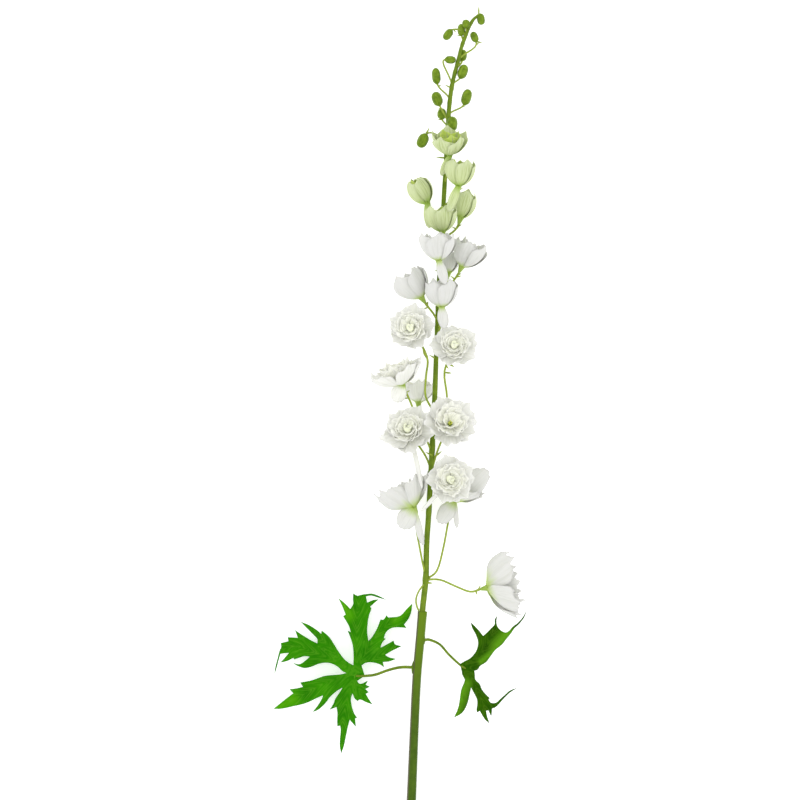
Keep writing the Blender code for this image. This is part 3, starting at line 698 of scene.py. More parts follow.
def push_in_socket(mesh, end, way):
    """Insets the end face and pushes it down into the stalk."""
    bmesh.ops.inset_region(mesh, faces=[end], thickness=RIM, use_even_offset=True)
    pushed = bmesh.ops.extrude_face_region(mesh, geom=[end])["geom"]
    moved = [item for item in pushed if isinstance(item, bmesh.types.BMVert)]
    bmesh.ops.translate(mesh, vec=way * -SOCKET_DEPTH, verts=moved)
    if end.is_valid:
        bmesh.ops.delete(mesh, geom=[end], context="FACES_ONLY")


def round_rim(mesh, mouth):
    """Bevels the sharp edges round the mouth of the socket."""
    near = [edge for edge in mesh.edges
            if all((vertex.co - mouth).length < RIM_REACH for vertex in edge.verts)]
    sharp = [edge for edge in near if edge.is_manifold and edge.calc_face_angle() > SHARP_EDGE]
    bmesh.ops.bevel(
        mesh, geom=sharp, offset=RIM_ROUNDING, segments=2, profile=0.5, affect="EDGES", material=-1
    )


def build_stalk():
    mesh = start_mesh()
    path, radii = split_rows(STALK, 8)
    ends = add_tube(mesh, path, radii, 32)
    top = max(ends, key=lambda face: face.calc_center_median().y)
    push_in_socket(mesh, top, (path[-1] - path[-3]).normalized())
    round_rim(mesh, path[-1])
    for rows in LEAF_SOCKETS:
        add_tube(mesh, *split_rows(rows, 3), 10)
    for vertex in mesh.verts:
        vertex.co.z = max(vertex.co.z, 0.0)
    return finish_piece("stalk", mesh, stalk_plastic, "stalk_green", ["stem_lower"])


stalk = build_stalk()
print("stalk faces:", len(stalk.data.polygons))

# %% [markdown]
# ## The rod
#
# The rod starts inside the socket and thins towards the tip, where the stem nods to the right.
# It is a second tube on a flowing path, with four faint ridges. Where a small stalk leaves it the
# mould leaves a slight knuckle, so the radius swells a little at those heights. The rod is built
# further on, when all the small stalks are known.

# %% Shape of the rod
ROD = [
    (21.9, -196.0, 16.1, 3.1),
    (22.9, -181.0, 17.1, 3.2),
    (25.9, -152.0, 19.0, 3.2),
    (26.7, -118.0, 21.0, 3.1),
    (28.8, -86.0, 23.0, 3.0),
    (32.6, -14.0, 26.0, 2.9),
    (35.0, 35.0, 27.0, 2.8),
    (37.3, 104.0, 28.0, 2.4),
    (40.0, 162.0, 28.5, 2.3),
    (44.6, 241.0, 27.5, 2.4),
    (48.0, 301.0, 25.5, 2.4),
    (49.7, 324.0, 24.5, 2.3),
    (52.7, 344.0, 23.5, 2.2),
    (58.0, 365.0, 22.5, 2.1),
    (61.8, 380.0, 22.0, 2.0),
    (67.2, 395.0, 21.5, 1.9),
    (73.0, 406.5, 21.0, 1.7),
    (79.5, 412.0, 21.0, 1.4),
]
KNUCKLE_SWELL = 0.14
KNUCKLE_WIDTH = 2.5


def rod_at(y):
    """The point on the rod's axis at a height along the stem, and the rod's direction there."""
    for low, high in zip(ROD, ROD[1:]):
        if y <= high[1]:
            break
    start = Vector(low[:3])
    end = Vector(high[:3])
    return start.lerp(end, (y - low[1]) / (high[1] - low[1])), (end - start).normalized()


def build_rod(knuckles):
    mesh = start_mesh()
    path, radii = split_rows(ROD, 12)
    for k, point in enumerate(path):
        near = min(abs(point.y - y) for y in knuckles)
        radii[k] *= 1.0 + KNUCKLE_SWELL * math.exp(-((near / KNUCKLE_WIDTH) ** 2))
    add_tube(mesh, path, radii, 24, ridges=4, depth=0.07)
    return finish_piece("rod", mesh, rod_plastic, "rod_green", ["stem_upper"])


print("the rod runs over", ROD[-1][1] - ROD[0][1], "mm")

# %% [markdown]
# ## Where the blooms sit
#
# One table says for each bloom where it sits, which way it faces, where its small stalk leaves the
# rod and how its rings of petals open. White double blooms have three rings, half open ones two,
# and cups one. A ring has a number of petals, their length and half width, the angles from the
# bloom's axis at the petal's foot and tip, and the turn of its first petal. Some blooms also have
# petals that hang behind them, each with the place of its tip and its half width. A small stalk
# that goes round other blooms has three points on its way, in via. Any other is one curve, and
# reach says how far that curve runs straight on at both ends, as a share of its span.

# %% Table of blooms
class Ring(NamedTuple):
    """One ring of petals, with angles in degrees from the bloom's axis."""

    count: int
    length: float
    half_width: float
    start: float
    end: float
    spin: float
    foot: float = 0.0
    wrap: float = 0.85
    taper: float = 0.82
    rounding: float = 0.2


class Bloom:
    """Where a bloom sits, which way it faces and how its rings of petals open."""

    def __init__(self, name, seat, facing, leaves_rod, rings, hanging=(), via=(), reach=0.4):
        self.name = name
        self.seat = Vector(seat)
        self.facing = Vector(facing).normalized()
        self.leaves_rod = leaves_rod
        self.rings = rings
        self.hanging = hanging
        self.via = via
        self.reach = reach


def full(length, half_width, start, end, spin):
    """Five broad petals and, inside them, five smaller and three small steep ones."""
    outer = Ring(5, length, half_width, start, end, spin)
    middle = Ring(5, length * 0.76, half_width * 0.76, start - 20, end - 16, spin + 36, 3.0)
    inner = Ring(3, length * 0.5, half_width * 0.6, start - 40, end - 32, spin + 10, 4.8, 0.8)
    return [outer, middle, inner]


def fan(length, half_width, start, end, spin):
    """A half open bloom: five petals and three small ones inside them."""
    outer = Ring(5, length, half_width, start, end, spin)
    inner = Ring(3, length * 0.62, half_width * 0.7, start - 30, end - 14, spin + 36, 4.0)
    return [outer, inner]


def cup(length, half_width, start, end, spin, count=5):
    return [Ring(count, length, half_width, start, end, spin, 0.0, 1.0, 0.86, 0.32)]


BLOOMS = [
    Bloom("bloom_1", (85.0, -162.0, 36.0), (0.95, 0.2, -0.05), -154.0, full(49, 20, 80, 10, 36), (),
          [(40.0, -154.0, 24.0), (55.0, -160.0, 30.0), (70.0, -165.5, 34.5)]),
    Bloom("bloom_2", (14.6, -83.0, 35.0), (-0.48, 0.87, -0.08), -152.0, fan(43, 17, 66, 22, 36),
          [((23.0, -119.0, 37.0), 3.6), ((1.0, -102.0, 42.0), 10.0)],
          [(22.0, -134.0, 24.0), (19.0, -118.0, 28.0), (16.0, -100.0, 33.0)]),
    Bloom("bloom_3", (49.0, -55.0, 50.0), (0.12, 0.15, 0.97), -84.0, full(26, 14, 84, 58, 20),
          [((21.0, -85.0, 50.0), 2.2)]),
    Bloom("bloom_4", (54.0, -76.0, 16.0), (0.5, 0.85, 0.1), -154.0, fan(34, 11, 62, 30, 30),
          [((57.0, -102.0, 25.0), 2.6), ((39.0, -97.0, 31.0), 8.5), ((88.0, -44.0, 24.0), 12.0)],
          [(37.0, -145.0, 19.5), (43.5, -122.0, 18.0), (48.0, -98.0, 16.5)]),
    Bloom("bloom_5", (48.0, -1.0, 53.0), (0.2, 0.42, 0.88), -60.0, full(30, 15, 84, 48, 18),
          [((77.0, 5.0, 54.0), 5.5)]),
    Bloom("bloom_6", (10.0, -7.0, 39.0), (-0.2, 0.4, 0.89), -50.0, full(27, 15, 84, 50, 54),
          [((22.0, -62.0, 56.0), 2.4), ((-21.0, -12.0, 38.0), 5.0)]),
    Bloom("bloom_7", (18.5, 22.0, 10.5), (0.03, 0.98, -0.12), -20.0, cup(29, 11.5, 68, -4, 0)),
    Bloom("bloom_8", (3.0, 40.0, 42.0), (-0.38, 0.9, 0.14), -26.0, full(36, 15, 80, 28, 18),
          [((-5.0, 24.0, 46.0), 8.0)], [(24.0, -8.0, 32.0), (15.5, 11.0, 35.0), (10.0, 25.0, 38.0)]),
    Bloom("bloom_9", (12.5, 96.0, 44.0), (-0.2, 0.2, 0.95), 14.0, full(25, 13, 84, 54, 54),
          [((-6.0, 95.0, 44.0), 5.0)],
          [(25.5, 30.0, 36.0), (26.0, 50.0, 38.0), (27.0, 69.0, 38.0)]),
    Bloom("bloom_10", (53.8, 77.0, 43.5), (0.02, 0.35, 0.93), -5.0, full(24, 13, 84, 52, 60), (),
          [(45.0, 12.0, 30.0), (47.0, 29.0, 33.0), (44.5, 55.0, 36.0)]),
    Bloom("cup_1", (41.5, 117.0, 51.0), (0.0, 0.99, -0.03), 78.0, cup(34, 15, 72, -26, 36),
          [((44.0, 97.0, 54.0), 5.5)]),
    Bloom("cup_2", (22.5, 127.0, 34.0), (-0.55, 0.83, -0.03), 100.0, cup(36, 15, 68, -22, 36)),
    Bloom("cup_3", (48.0, 152.0, 12.0), (0.15, 0.98, -0.1), 118.0, cup(25, 8, 58, -36, 10, 4)),
    Bloom("cup_4", (61.0, 158.0, 30.0), (0.42, 0.9, 0.05), 120.0, cup(35, 15, 68, -20, -10)),
    Bloom("cup_5", (38.5, 163.0, 64.0), (-0.02, 0.99, 0.0), 148.0, cup(34, 15.5, 70, -16, 4),
          [((45.0, 141.0, 69.0), 5.0)], (), 0.35),
    Bloom("green_cup_1", (42.5, 192.0, 45.0), (-0.05, 0.98, 0.0), 175.0, cup(33, 13.5, 70, -24, 18)),
    Bloom("green_cup_2", (60.0, 206.5, 26.0), (0.28, 0.95, 0.0), 180.0, cup(34, 10.5, 62, -46, 0, 4)),
    Bloom("green_cup_3", (28.0, 221.5, 26.0), (-0.46, 0.88, 0.0), 196.0, cup(34, 10.5, 62, -46, 30, 4),
          [((29.5, 198.0, 27.5), 4.5)]),
    Bloom("green_cup_4", (58.0, 237.5, 54.5), (0.12, 0.98, 0.0), 214.0, cup(31, 13, 70, -31, 28),
          [((48.0, 213.0, 62.0), 4.5)]),
    Bloom("green_cup_5", (49.5, 269.0, 50.0), (0.0, 0.92, 0.38), 238.0, cup(31, 13, 70, -4, -30),
          [((41.0, 250.0, 40.0), 3.5)], (), 0.45),
]
print("blooms and cups:", len(BLOOMS))

# %% [markdown]
# ## The shape of a petal
#
# A petal is a sheet bent twice: it leaves the foot almost square to the bloom's axis and turns up
# towards it, and it also wraps round the axis like a piece of a bowl. Bending a flat grid with a
# formula does both and lets every petal differ a little. Pressed cloth then frills at the rim, so
# the rim is notched and waves, the more so the nearer to the tip. Cups hardly frill at all.

# %% Petal formula
FOOT_RADIUS = 2.0
FOOT_HALF_WIDTH = 1.2
FULLNESS = 0.94
PINWHEEL = 0.14
RIPPLE = 0.06
CURL = 0.10
HOLLOW = 0.1
SCALLOP = 0.06
COARSE_NOTCH = 0.06
FINE_NOTCH = 0.04
WAVES = [(0.07, 9.0, 2.9, 1.5), (0.09, 6.0, 2.3, 3), (0.05, 15.0, 0.9, 5)]


def rim_cut(s, phase, frill, rounding):
    """How much of the petal's length is missing at s, from rounding, a scallop and notches."""
    scallop = 0.5 - 0.5 * math.cos(2.0 * math.pi * s)
    coarse = 0.5 + 0.5 * math.sin(9.0 * s + 3.1 * phase)
    fine = 0.5 + 0.5 * math.sin(26.0 * s + 1.7 * phase)
    notches = SCALLOP * scallop + frill * (COARSE_NOTCH * coarse + FINE_NOTCH * fine)
    return rounding * s * s, notches


def petal(ring, length, start_angle, end_angle, phase, frill):
    """Gives the point of a petal at s across and u along, with the bloom's axis along Z."""
    bend = end_angle - start_angle

    def place(s, u):
        rounding, notches = rim_cut(s, phase, frill, ring.rounding)
        u = u * (1.0 - rounding - notches * u ** 3)
        angle = start_angle + bend * u
        out = FOOT_RADIUS + length * (math.cos(start_angle) - math.cos(angle)) / bend
        high = ring.foot + length * (math.sin(angle) - math.sin(start_angle)) / bend
        broad = math.sin(math.pi * ring.taper * u ** 1.1)
        width = FOOT_HALF_WIDTH + ring.half_width * FULLNESS * broad
        slope = PINWHEEL * s + RIPPLE * math.cos(2.5 * math.pi * s + phase) * u * u
        for size, waves, shift, power in WAVES:
            slope += frill * size * math.sin(waves * s + shift * phase) * u ** power
        slope += frill * CURL * abs(s) ** 3 * math.sin(9.0 * u + phase)
        out -= width * slope * math.cos(angle)
        high += width * slope * math.sin(angle)
        turn = s * width * ring.wrap / out
        reach = width * s * (1.0 - ring.wrap)
        across = out * math.sin(turn) + reach
        along = out * math.cos(turn)
        return Vector((along, across, high + HOLLOW * ring.wrap * width * s * s))

    return place


sample_ring = Ring(5, 30.0, 12.0, 80.0, 30.0, 0.0)
sample_petal = petal(sample_ring, 30.0, math.radians(80.0), math.radians(30.0), 0.0, 1.0)
print("a petal's tip is at", [round(value, 1) for value in sample_petal(0.0, 1.0)])

# %% [markdown]
# ## Petals that hang or touch the surface
#
# Some petals hang behind their bloom, and from above they are seen flat. Those get a plainer
# formula, from a start to an end with an arch between them. The lowest petals would go under the
# surface that the stem lies on. Real cloth would give way there, so points that are too low are
# lifted, and the petal lies along the surface.

# %% Hanging petals, and petals near the surface
HANGING_FOOT = 1.3
FLOOR_SOFT = 7.0
FLOOR_LEAST = 0.1


def lifted(point):
    """What would go under the surface bends and lies along it."""
    if point.z < FLOOR_SOFT:
        rise = FLOOR_SOFT - FLOOR_LEAST
        point = point.copy()
        point.z = FLOOR_LEAST + rise * math.exp((point.z - FLOOR_SOFT) / rise)
    return point


def hanging_petal(start, end, half_width, sag):
    """A petal that hangs behind a bloom from start to end, seen flat from above."""
    along = end - start
    across = Vector((0.0, 0.0, 1.0)).cross(along).normalized()
    up = along.cross(across).normalized()

    def place(s, u):
        width = HANGING_FOOT + (half_width - HANGING_FOOT) * math.sin(math.pi * (0.06 + 0.7 * u))
        arch = sag * math.sin(math.pi * u) - 0.25 * width * s * s + 0.35 * math.sin(6.0 * s) * u
        u = u * (1.0 - 0.16 * s * s - 0.03 * math.sin(11.0 * s))
        return lifted(start + along * u + across * (width * s) + up * arch)

    return place


print("a point 5 mm under the surface is lifted to", round(lifted(Vector((0.0, 0.0, -5.0))).z, 1), "mm")

# %% [markdown]
# ## Rings of petals
#
# A bloom is built in its own axes and turned to face its way. The petals of a ring stand evenly
# round the axis, and chance turns, lengthens and opens each a little, so that no two are the same.

# %% Helpers for a ring of petals
TURN_CHANCE = 8.0
LENGTH_CHANCE = 0.07
OPEN_CHANCE = 8.0
PHASE_STEP = 1.9
PETAL_GRID = (20, 12)


def bloom_axes(facing):
    """The turn from a bloom's own axes to the stem's."""
    across = Vector((0.0, 0.0, 1.0)) - facing * facing.z
    across.normalize()
    return Matrix((across, facing.cross(across), facing)).transposed()


def add_ring(mesh, ring, centre, turned, chance, loose, frill, index, heart):
    """Adds one ring of petals to a bloom. Loose is how much chance turns and opens them."""
    for k in range(ring.count):
        turning = chance.uniform(-TURN_CHANCE, TURN_CHANCE) * loose
        around = math.radians(ring.spin + 360.0 * k / ring.count + turning)
        grown = ring.length * chance.uniform(1.0 - LENGTH_CHANCE, 1.0 + LENGTH_CHANCE)
        opened = math.radians(ring.end + chance.uniform(-OPEN_CHANCE, OPEN_CHANCE) * loose)
        shape = petal(ring, grown, math.radians(ring.start), opened, k * PHASE_STEP, frill)
        turn = turned @ Matrix.Rotation(around, 3, "Z")

        def place(s, u, shape=shape, turn=turn):
            return lifted(centre + turn @ shape(s, u))

        add_sheet(mesh, *PETAL_GRID, place, 0.13 * index + 0.07 * k, heart)


print("a petal has", PETAL_GRID[0] * PETAL_GRID[1], "faces")

# %% [markdown]
# ## The hearts of the blooms
#
# Inside the rings that the solid model has, each bloom gets more small crumpled petals, which fill
# its heart as the cloth does. A double bloom gets three rings of them, and the last one closes over
# as a pale green core, because an open heart would look like a dark hole. A cup gets one ring,
# which shows between its outer petals.

# %% Rings for the hearts
def heart_rings(rings):
    """The small crumpled petals that only the finer model has. The last ones close the heart."""
    outer = rings[0]
    length = outer.length
    half_width = outer.half_width
    spin = outer.spin
    if len(rings) == 3:
        return [
            Ring(4, length * 0.60, half_width * 0.84, 64, outer.end - 12, spin + 50, 4.4, 0.7),
            Ring(3, length * 0.50, half_width * 0.84, 56, outer.end - 34, spin, 5.2, 0.8),
            Ring(3, length * 0.38, half_width * 0.70, 34, -66, spin + 20, 5.8, 0.95),
        ]
    if len(rings) == 2:
        return [Ring(3, length * 0.5, half_width * 0.6, 30, 12, spin, 4.5, 0.8)]
    start = outer.start - 22
    return [Ring(3, length * 0.82, half_width * 0.8, start, outer.end + 4, spin + 30, 2.0, 0.95, 0.86, 0.3)]


print("heart petals of a double bloom:", sum(ring.count for ring in heart_rings(BLOOMS[0].rings)))

# %% [markdown]
# ## Building the blooms
#
# Now each row of the table becomes one piece. Blooms of one ring are cups: they frill less and vary
# less. A bloom that shows its stamens keeps only the first ring of its heart. Chance is seeded, so
# the same stem comes out each time, and the heart has its own row of chances, so that a change
# there leaves the outer petals as they are.

# %% Build the blooms
SEED = 11
SINGLE_RING_SHARE = 0.4
PETALS_START = 1.6
CUP_FRILL = 0.12
# Each ring further in counts as more heart, which in the open white is painted lighter: painted fill light.
RING_HEART = 0.45
HEART_LOOSE = 1.6
HEART_FRILL = 0.4
HANGING_FORWARD = 0.4
HANGING_UP = 3.4
HANGING_SAG = 2.5
HANGING_GRID = (8, 12)
# bloom_7 lies in the shade of bloom_8, so it gets the open white that is painted lighter: painted fill
# light.
CUPS_WITH_PAINTED_FILL = ["bloom_7"]
SEEN_FROM_THE_SIDE = ["bloom_1", "bloom_2", "bloom_4"]
WITH_STAMENS = ["bloom_5", "green_cup_4", "green_cup_5"]
CLOTH = 0.35


def build_bloom(bloom, look, slot, chance, own_chance):
    mesh = start_mesh()
    turned = bloom_axes(bloom.facing)
    centre = bloom.seat + bloom.facing * PETALS_START
    several = len(bloom.rings) > 1
    frill = 1.0 if several else CUP_FRILL
    loose = 1.0 if several else SINGLE_RING_SHARE
    for index, ring in enumerate(bloom.rings):
        add_ring(mesh, ring, centre, turned, chance, loose, frill, index, RING_HEART * index)
    hearts = heart_rings(bloom.rings)
    if bloom.name in WITH_STAMENS:
        hearts = hearts[:1]
    crumple = HEART_FRILL * frill
    for index, ring in enumerate(hearts):
        depth = 1.0 if index < 2 else 2.0
        add_ring(mesh, ring, centre, turned, own_chance, HEART_LOOSE, crumple, index + 4, depth)
    for end, half_width in bloom.hanging:
        root = centre + bloom.facing * HANGING_FORWARD + turned.col[0] * HANGING_UP
        add_sheet(mesh, *HANGING_GRID, hanging_petal(root, Vector(end), half_width, HANGING_SAG), 0.9)
    return finish_piece(bloom.name + "_petals", mesh, look, slot, [bloom.name], CLOTH)


def cloth_of(bloom):
    """The cloth of a bloom and the name of its material slot."""
    if bloom.name.startswith("green"):
        return pale_cloth, "pale_green_petal"
    if bloom.name in SEEN_FROM_THE_SIDE:
        return side_cloth, "white_petal"
    # Painted fill light: the open white, painted lighter, goes to open blooms and to bloom_7, which lies in
    # shade.
    if bloom.name in CUPS_WITH_PAINTED_FILL or len(bloom.rings) > 1:
        return open_cloth_painted_fill, "white_petal"
    return cup_cloth, "white_petal"


chance = random.Random(SEED)
own_chance = random.Random(SEED + 1)
blooms = [build_bloom(bloom, *cloth_of(bloom), chance, own_chance) for bloom in BLOOMS]
print("bloom faces:", [len(piece.data.polygons) for piece in blooms])

# %% [markdown]
# ## Where the buds sit
#
# Towards the tip the blooms are still closed. One row says for each bud where its foot is, which
# way it points, its length and radius, and where its small stalk leaves the rod. With this table
# all the knuckles are known, so the rod can be built.

# %% Table of buds, and the rod
BUDS = [
    ((80.3, 412.5, 21.5), (0.15, -0.98, 0.1), 11.0, 4.2, 404.0),
    ((51.5, 396.5, 24.0), (-0.6, -0.8, 0.1), 12.0, 4.3, 389.0),
    ((61.5, 391.5, 20.0), (0.0, 1.0, 0.0), 11.5, 4.1, 383.0),
    ((66.0, 398.5, 25.0), (0.0, 1.0, 0.3), 8.5, 4.0, 392.0),
    ((76.5, 385.0, 22.5), (-0.4, 0.92, 0.1), 10.5, 4.0, 364.0),
    ((62.5, 366.5, 16.5), (0.1, 1.0, -0.1), 11.0, 4.3, 354.0),
    ((45.5, 367.0, 24.5), (1.0, -0.08, 0.1), 10.5, 4.1, 338.0),
    ((60.5, 348.5, 24.5), (0.35, 0.93, 0.1), 14.0, 5.2, 340.0),
    ((37.0, 343.0, 26.0), (-0.1, 1.0, 0.0), 15.5, 4.6, 324.0),
    ((39.5, 321.0, 28.0), (-0.35, 0.93, 0.1), 14.0, 5.4, 299.0),
    ((42.0, 308.0, 17.0), (0.0, 1.0, -0.1), 10.5, 4.8, 297.0),
    ((64.5, 322.0, 27.0), (0.28, 0.96, 0.1), 15.5, 5.2, 309.0),
    ((51.5, 295.0, 32.0), (0.05, 1.0, 0.15), 14.5, 5.9, 283.0),
    ((25.8, 291.5, 30.0), (-0.45, -0.89, 0.1), 14.5, 5.7, 277.0),
]
rod = build_rod([bloom.leaves_rod for bloom in BLOOMS] + [row[4] for row in BUDS])
print("buds:", len(BUDS), "rod faces:", len(rod.data.polygons))

# %% [markdown]
# ## Bracts
#
# A bract is a small pointed leaf where a stalk branches off. At this size it is a flattened tube
# that bends a little. Most of them stand off the small stalks by chance, and these rows hold the
# others: foot, direction, length and width.

# %% Table of bracts
BRACTS = [
    ((79.0, 411.5, 21.0), (-0.06, 1.0, 0.0), 10.0, 1.4),
    ((51.5, 338.0, 25.0), (-0.8, 0.5, 0.3), 8.0, 1.3),
    ((57.5, 360.0, 24.0), (0.7, 0.6, 0.2), 9.0, 1.3),
    ((76.5, 385.2, 22.8), (0.8, -0.3, 0.3), 7.0, 1.3),
    ((26.2, 291.0, 30.0), (0.3, 0.9, 0.3), 9.0, 1.4),
    ((46.0, 268.0, 27.5), (-0.8, 0.1, 0.3), 11.0, 1.4),
    ((36.0, 67.0, 28.8), (-0.7, 0.5, 0.4), 9.0, 1.4),
    ((37.0, 98.0, 29.2), (0.7, 0.6, 0.3), 9.0, 1.4),
    ((33.0, -30.0, 28.0), (-0.8, 0.5, 0.3), 9.0, 1.5),
    ((34.0, -31.0, 28.0), (0.8, 0.5, 0.3), 11.0, 1.5),
    ((26.5, -157.0, 20.5), (0.8, -0.1, 0.4), 8.0, 1.6),
    ((41.0, 173.0, 29.5), (0.8, 0.4, 0.3), 9.0, 1.3),
    ((27.0, 68.0, 38.2), (-0.45, 0.85, 0.1), 12.0, 2.6),
    ((47.3, 63.0, 38.0), (0.75, -0.5, 0.3), 9.0, 2.0),
    ((45.0, 53.5, 36.0), (0.9, -0.15, 0.3), 8.0, 1.5),
]
BRACT_PROFILE = [(0.0, 0.6), (0.25, 0.95), (0.5, 0.9), (0.75, 0.5), (1.0, 0.08)]


def add_bract(mesh, foot, way, length, width):
    way = way.normalized()
    bend = way.orthogonal().normalized() * (0.12 * length)
    path = [foot + way * (length * h) + bend * h * h for h, share in BRACT_PROFILE]
    add_tube(mesh, path, [width * share * 0.72 for h, share in BRACT_PROFILE], 6, flat=0.45)


print("bracts that are placed by hand:", len(BRACTS))

# %% [markdown]
# ## Small stalks
#
# Each bloom and bud stands on a stalk as thin as wire. Most leave the rod upwards and arrive along
# the bloom's axis, and a Bezier curve is made for that. A stalk that has to go round other blooms
# flows through three points instead. One bare stalk, with no bloom on it, bends in a small loop.

# %% Build the small stalks
BLOOM_STALK_RADII = [1.5, 1.25] + [1.05] * 12 + [1.2, 1.3, 1.0]
BUD_STALK_RADII = [1.2] + [0.85] * 9 + [1.0, 1.3]
BUD_REACH = 0.4
CALYX_LENGTH = 4.5
BARE_LOOP = [
    (26.0, -157.0, 19.5), (22.0, -161.0, 21.5), (18.0, -167.0, 22.5),
    (16.0, -174.0, 22.5), (17.0, -181.0, 22.0), (19.0, -185.0, 22.5),
]


def side_of(way, turn):
    """A direction square to the way, turned about it."""
    side = way.orthogonal().normalized()
    side.rotate(Matrix.Rotation(turn, 3, way))
    return side


def small_stalk_path(start_y, end, end_way, reach, count, via=()):
    """From the rod at start_y to end, through the points in via or along a curve."""
    start, up = rod_at(start_y)
    if via:
        return smooth_path([start, *map(Vector, via), end], 4)
    span = (end - start).length * reach
    return interpolate_bezier(start, start + up * span, end - end_way * span, end, count)


def add_bloom_stalk(mesh, bloom, chance):
    """The stalk of a bloom, with three bracts below its calyx."""
    facing = bloom.facing
    foot = bloom.seat - facing * CALYX_LENGTH
    count = len(BLOOM_STALK_RADII)
    path = small_stalk_path(bloom.leaves_rod, foot, facing, bloom.reach, count, bloom.via)
    add_tube(mesh, path, BLOOM_STALK_RADII, 10)
    for k in range(3):
        side = side_of(facing, 2.1 * k + chance.uniform(-0.6, 0.6))
        way = facing * chance.uniform(0.1, 0.8) + side
        add_bract(mesh, path[-2 - k], way, chance.uniform(4.5, 7.5), 1.2)


def add_bud_stalk(mesh, foot, way, height, chance):
    """The stalk of a bud, with one bract."""
    way = Vector(way).normalized()
    end = Vector(foot) + way * 1.5
    path = small_stalk_path(height, end, way, BUD_REACH, len(BUD_STALK_RADII))
    add_tube(mesh, path, BUD_STALK_RADII, 8)
    side = side_of(way, chance.uniform(0.0, 6.0))
    add_bract(mesh, path[-3], side + way * 0.2, chance.uniform(3.5, 5.5), 1.0)


def build_small_stalks(chance):
    mesh = start_mesh()
    for bloom in BLOOMS:
        add_bloom_stalk(mesh, bloom, chance)
    for foot, way, length, radius, height in BUDS:
        add_bud_stalk(mesh, foot, way, height, chance)
    for foot, way, length, width in BRACTS:
        add_bract(mesh, Vector(foot), Vector(way), length, width)
    loop = smooth_path([Vector(point) for point in BARE_LOOP], 4)
    add_tube(mesh, loop, [0.9] * len(loop), 8)
    return finish_piece("small_stalks", mesh, small_stalk_plastic, "rod_green")


small_stalks = build_small_stalks(random.Random(SEED + 2))
print("small stalk faces:", len(small_stalks.data.polygons))

# %% [markdown]
# ## Calyxes
#
# Under its petals each bloom has a green calyx, a funnel that holds them together. It is a tube on
# the bloom's axis that widens towards the petals, with a ridge for each of its five sepals.

# %% Build the calyxes
CALYX = [
    (-5.2, 1.1), (-4.2, 1.6), (-2.6, 2.1), (-0.8, 2.6),
    (1.0, 3.2), (2.6, 4.0), (4.2, 4.3), (5.6, 3.4),
]


def build_calyxes():
    mesh = start_mesh()
    for index, bloom in enumerate(BLOOMS):
        path = [bloom.seat + bloom.facing * height for height, radius in CALYX]
        radii = [radius for height, radius in CALYX]
        add_tube(mesh, path, radii, 30, 0.05 * index, ridges=5, depth=0.14)
    return finish_piece("calyxes", mesh, calyx_plastic, "rod_green")


calyxes = build_calyxes()
print("calyx faces:", len(calyxes.data.polygons))

# %% [markdown]
# ## Closed buds
#
# A closed bud is an egg with grooves where its folded petals meet. The egg is a tube again, on a
# straight path whose radius swells and shrinks, and the ridges of the tube are its grooves.

# %% Build the buds
BUD = [
    (-0.06, 0.3), (0.0, 0.5), (0.07, 0.74), (0.18, 0.91), (0.33, 0.99), (0.5, 1.0),
    (0.67, 0.96), (0.82, 0.82), (0.93, 0.56), (0.98, 0.3), (1.0, 0.08),
]


def build_buds():
    mesh = start_mesh()
    for index, (foot, way, length, radius, height) in enumerate(BUDS):
        way = Vector(way).normalized()
        path = [Vector(foot) + way * (length * h) for h, share in BUD]
        add_tube(mesh, path, [radius * share for h, share in BUD], 20, 0.07 * index, 0.94, 5, 0.18)
    return finish_piece("buds", mesh, bud_plastic, "rod_green")


buds = build_buds()
print("bud faces:", len(buds.data.polygons))

# %% [markdown]
# ## Stamens
#
# In the heart of one open bloom and of two green cups a few yellow-green stamens show. Each is a
# thin tube with a swollen end. They are very small, so each has only a few faces.

# %% Build the stamens
STAMEN_COUNT = 7
STAMEN = [(0.0, 0.35), (0.6, 0.3), (0.78, 0.7), (0.9, 0.75), (1.0, 0.3)]


def build_stamens(look, chance):
    mesh = start_mesh()
    for bloom in BLOOMS:
        if bloom.name not in WITH_STAMENS:
            continue
        facing = bloom.facing
        for k in range(STAMEN_COUNT):
            side = side_of(facing, 2.4 * k)
            foot = bloom.seat + facing * 5.0 + side * 0.6
            tip = foot + facing * chance.uniform(5.0, 8.0) + side * chance.uniform(0.3, 1.5)
            path = [foot.lerp(tip, h) for h, radius in STAMEN]
            add_tube(mesh, path, [radius for h, radius in STAMEN], 6, 0.1 * k)
    return finish_piece("stamens", mesh, look, "pale_green_petal")


stamen_dust = moulded_green("stamen_dust", (0.72, 0.74, 0.12), (0.42, 0.55, 0.06), 6.0, 500.0, 0.8)[0]
stamens = build_stamens(stamen_dust, random.Random(SEED + 3))
print("stamen faces:", len(stamens.data.polygons))

# %% [markdown]
# ## Cut leaves
#
# A leaf like this is one flat shape with deep lobes and sharp teeth. Its outline is written lobe by
# lobe, with a point only where the edge turns, and its ribs are short lines that start near the
# middle of the leaf. A strip of painted highlight is a line with a width: lobes near it are painted
# lighter, as if they were turned to the light.

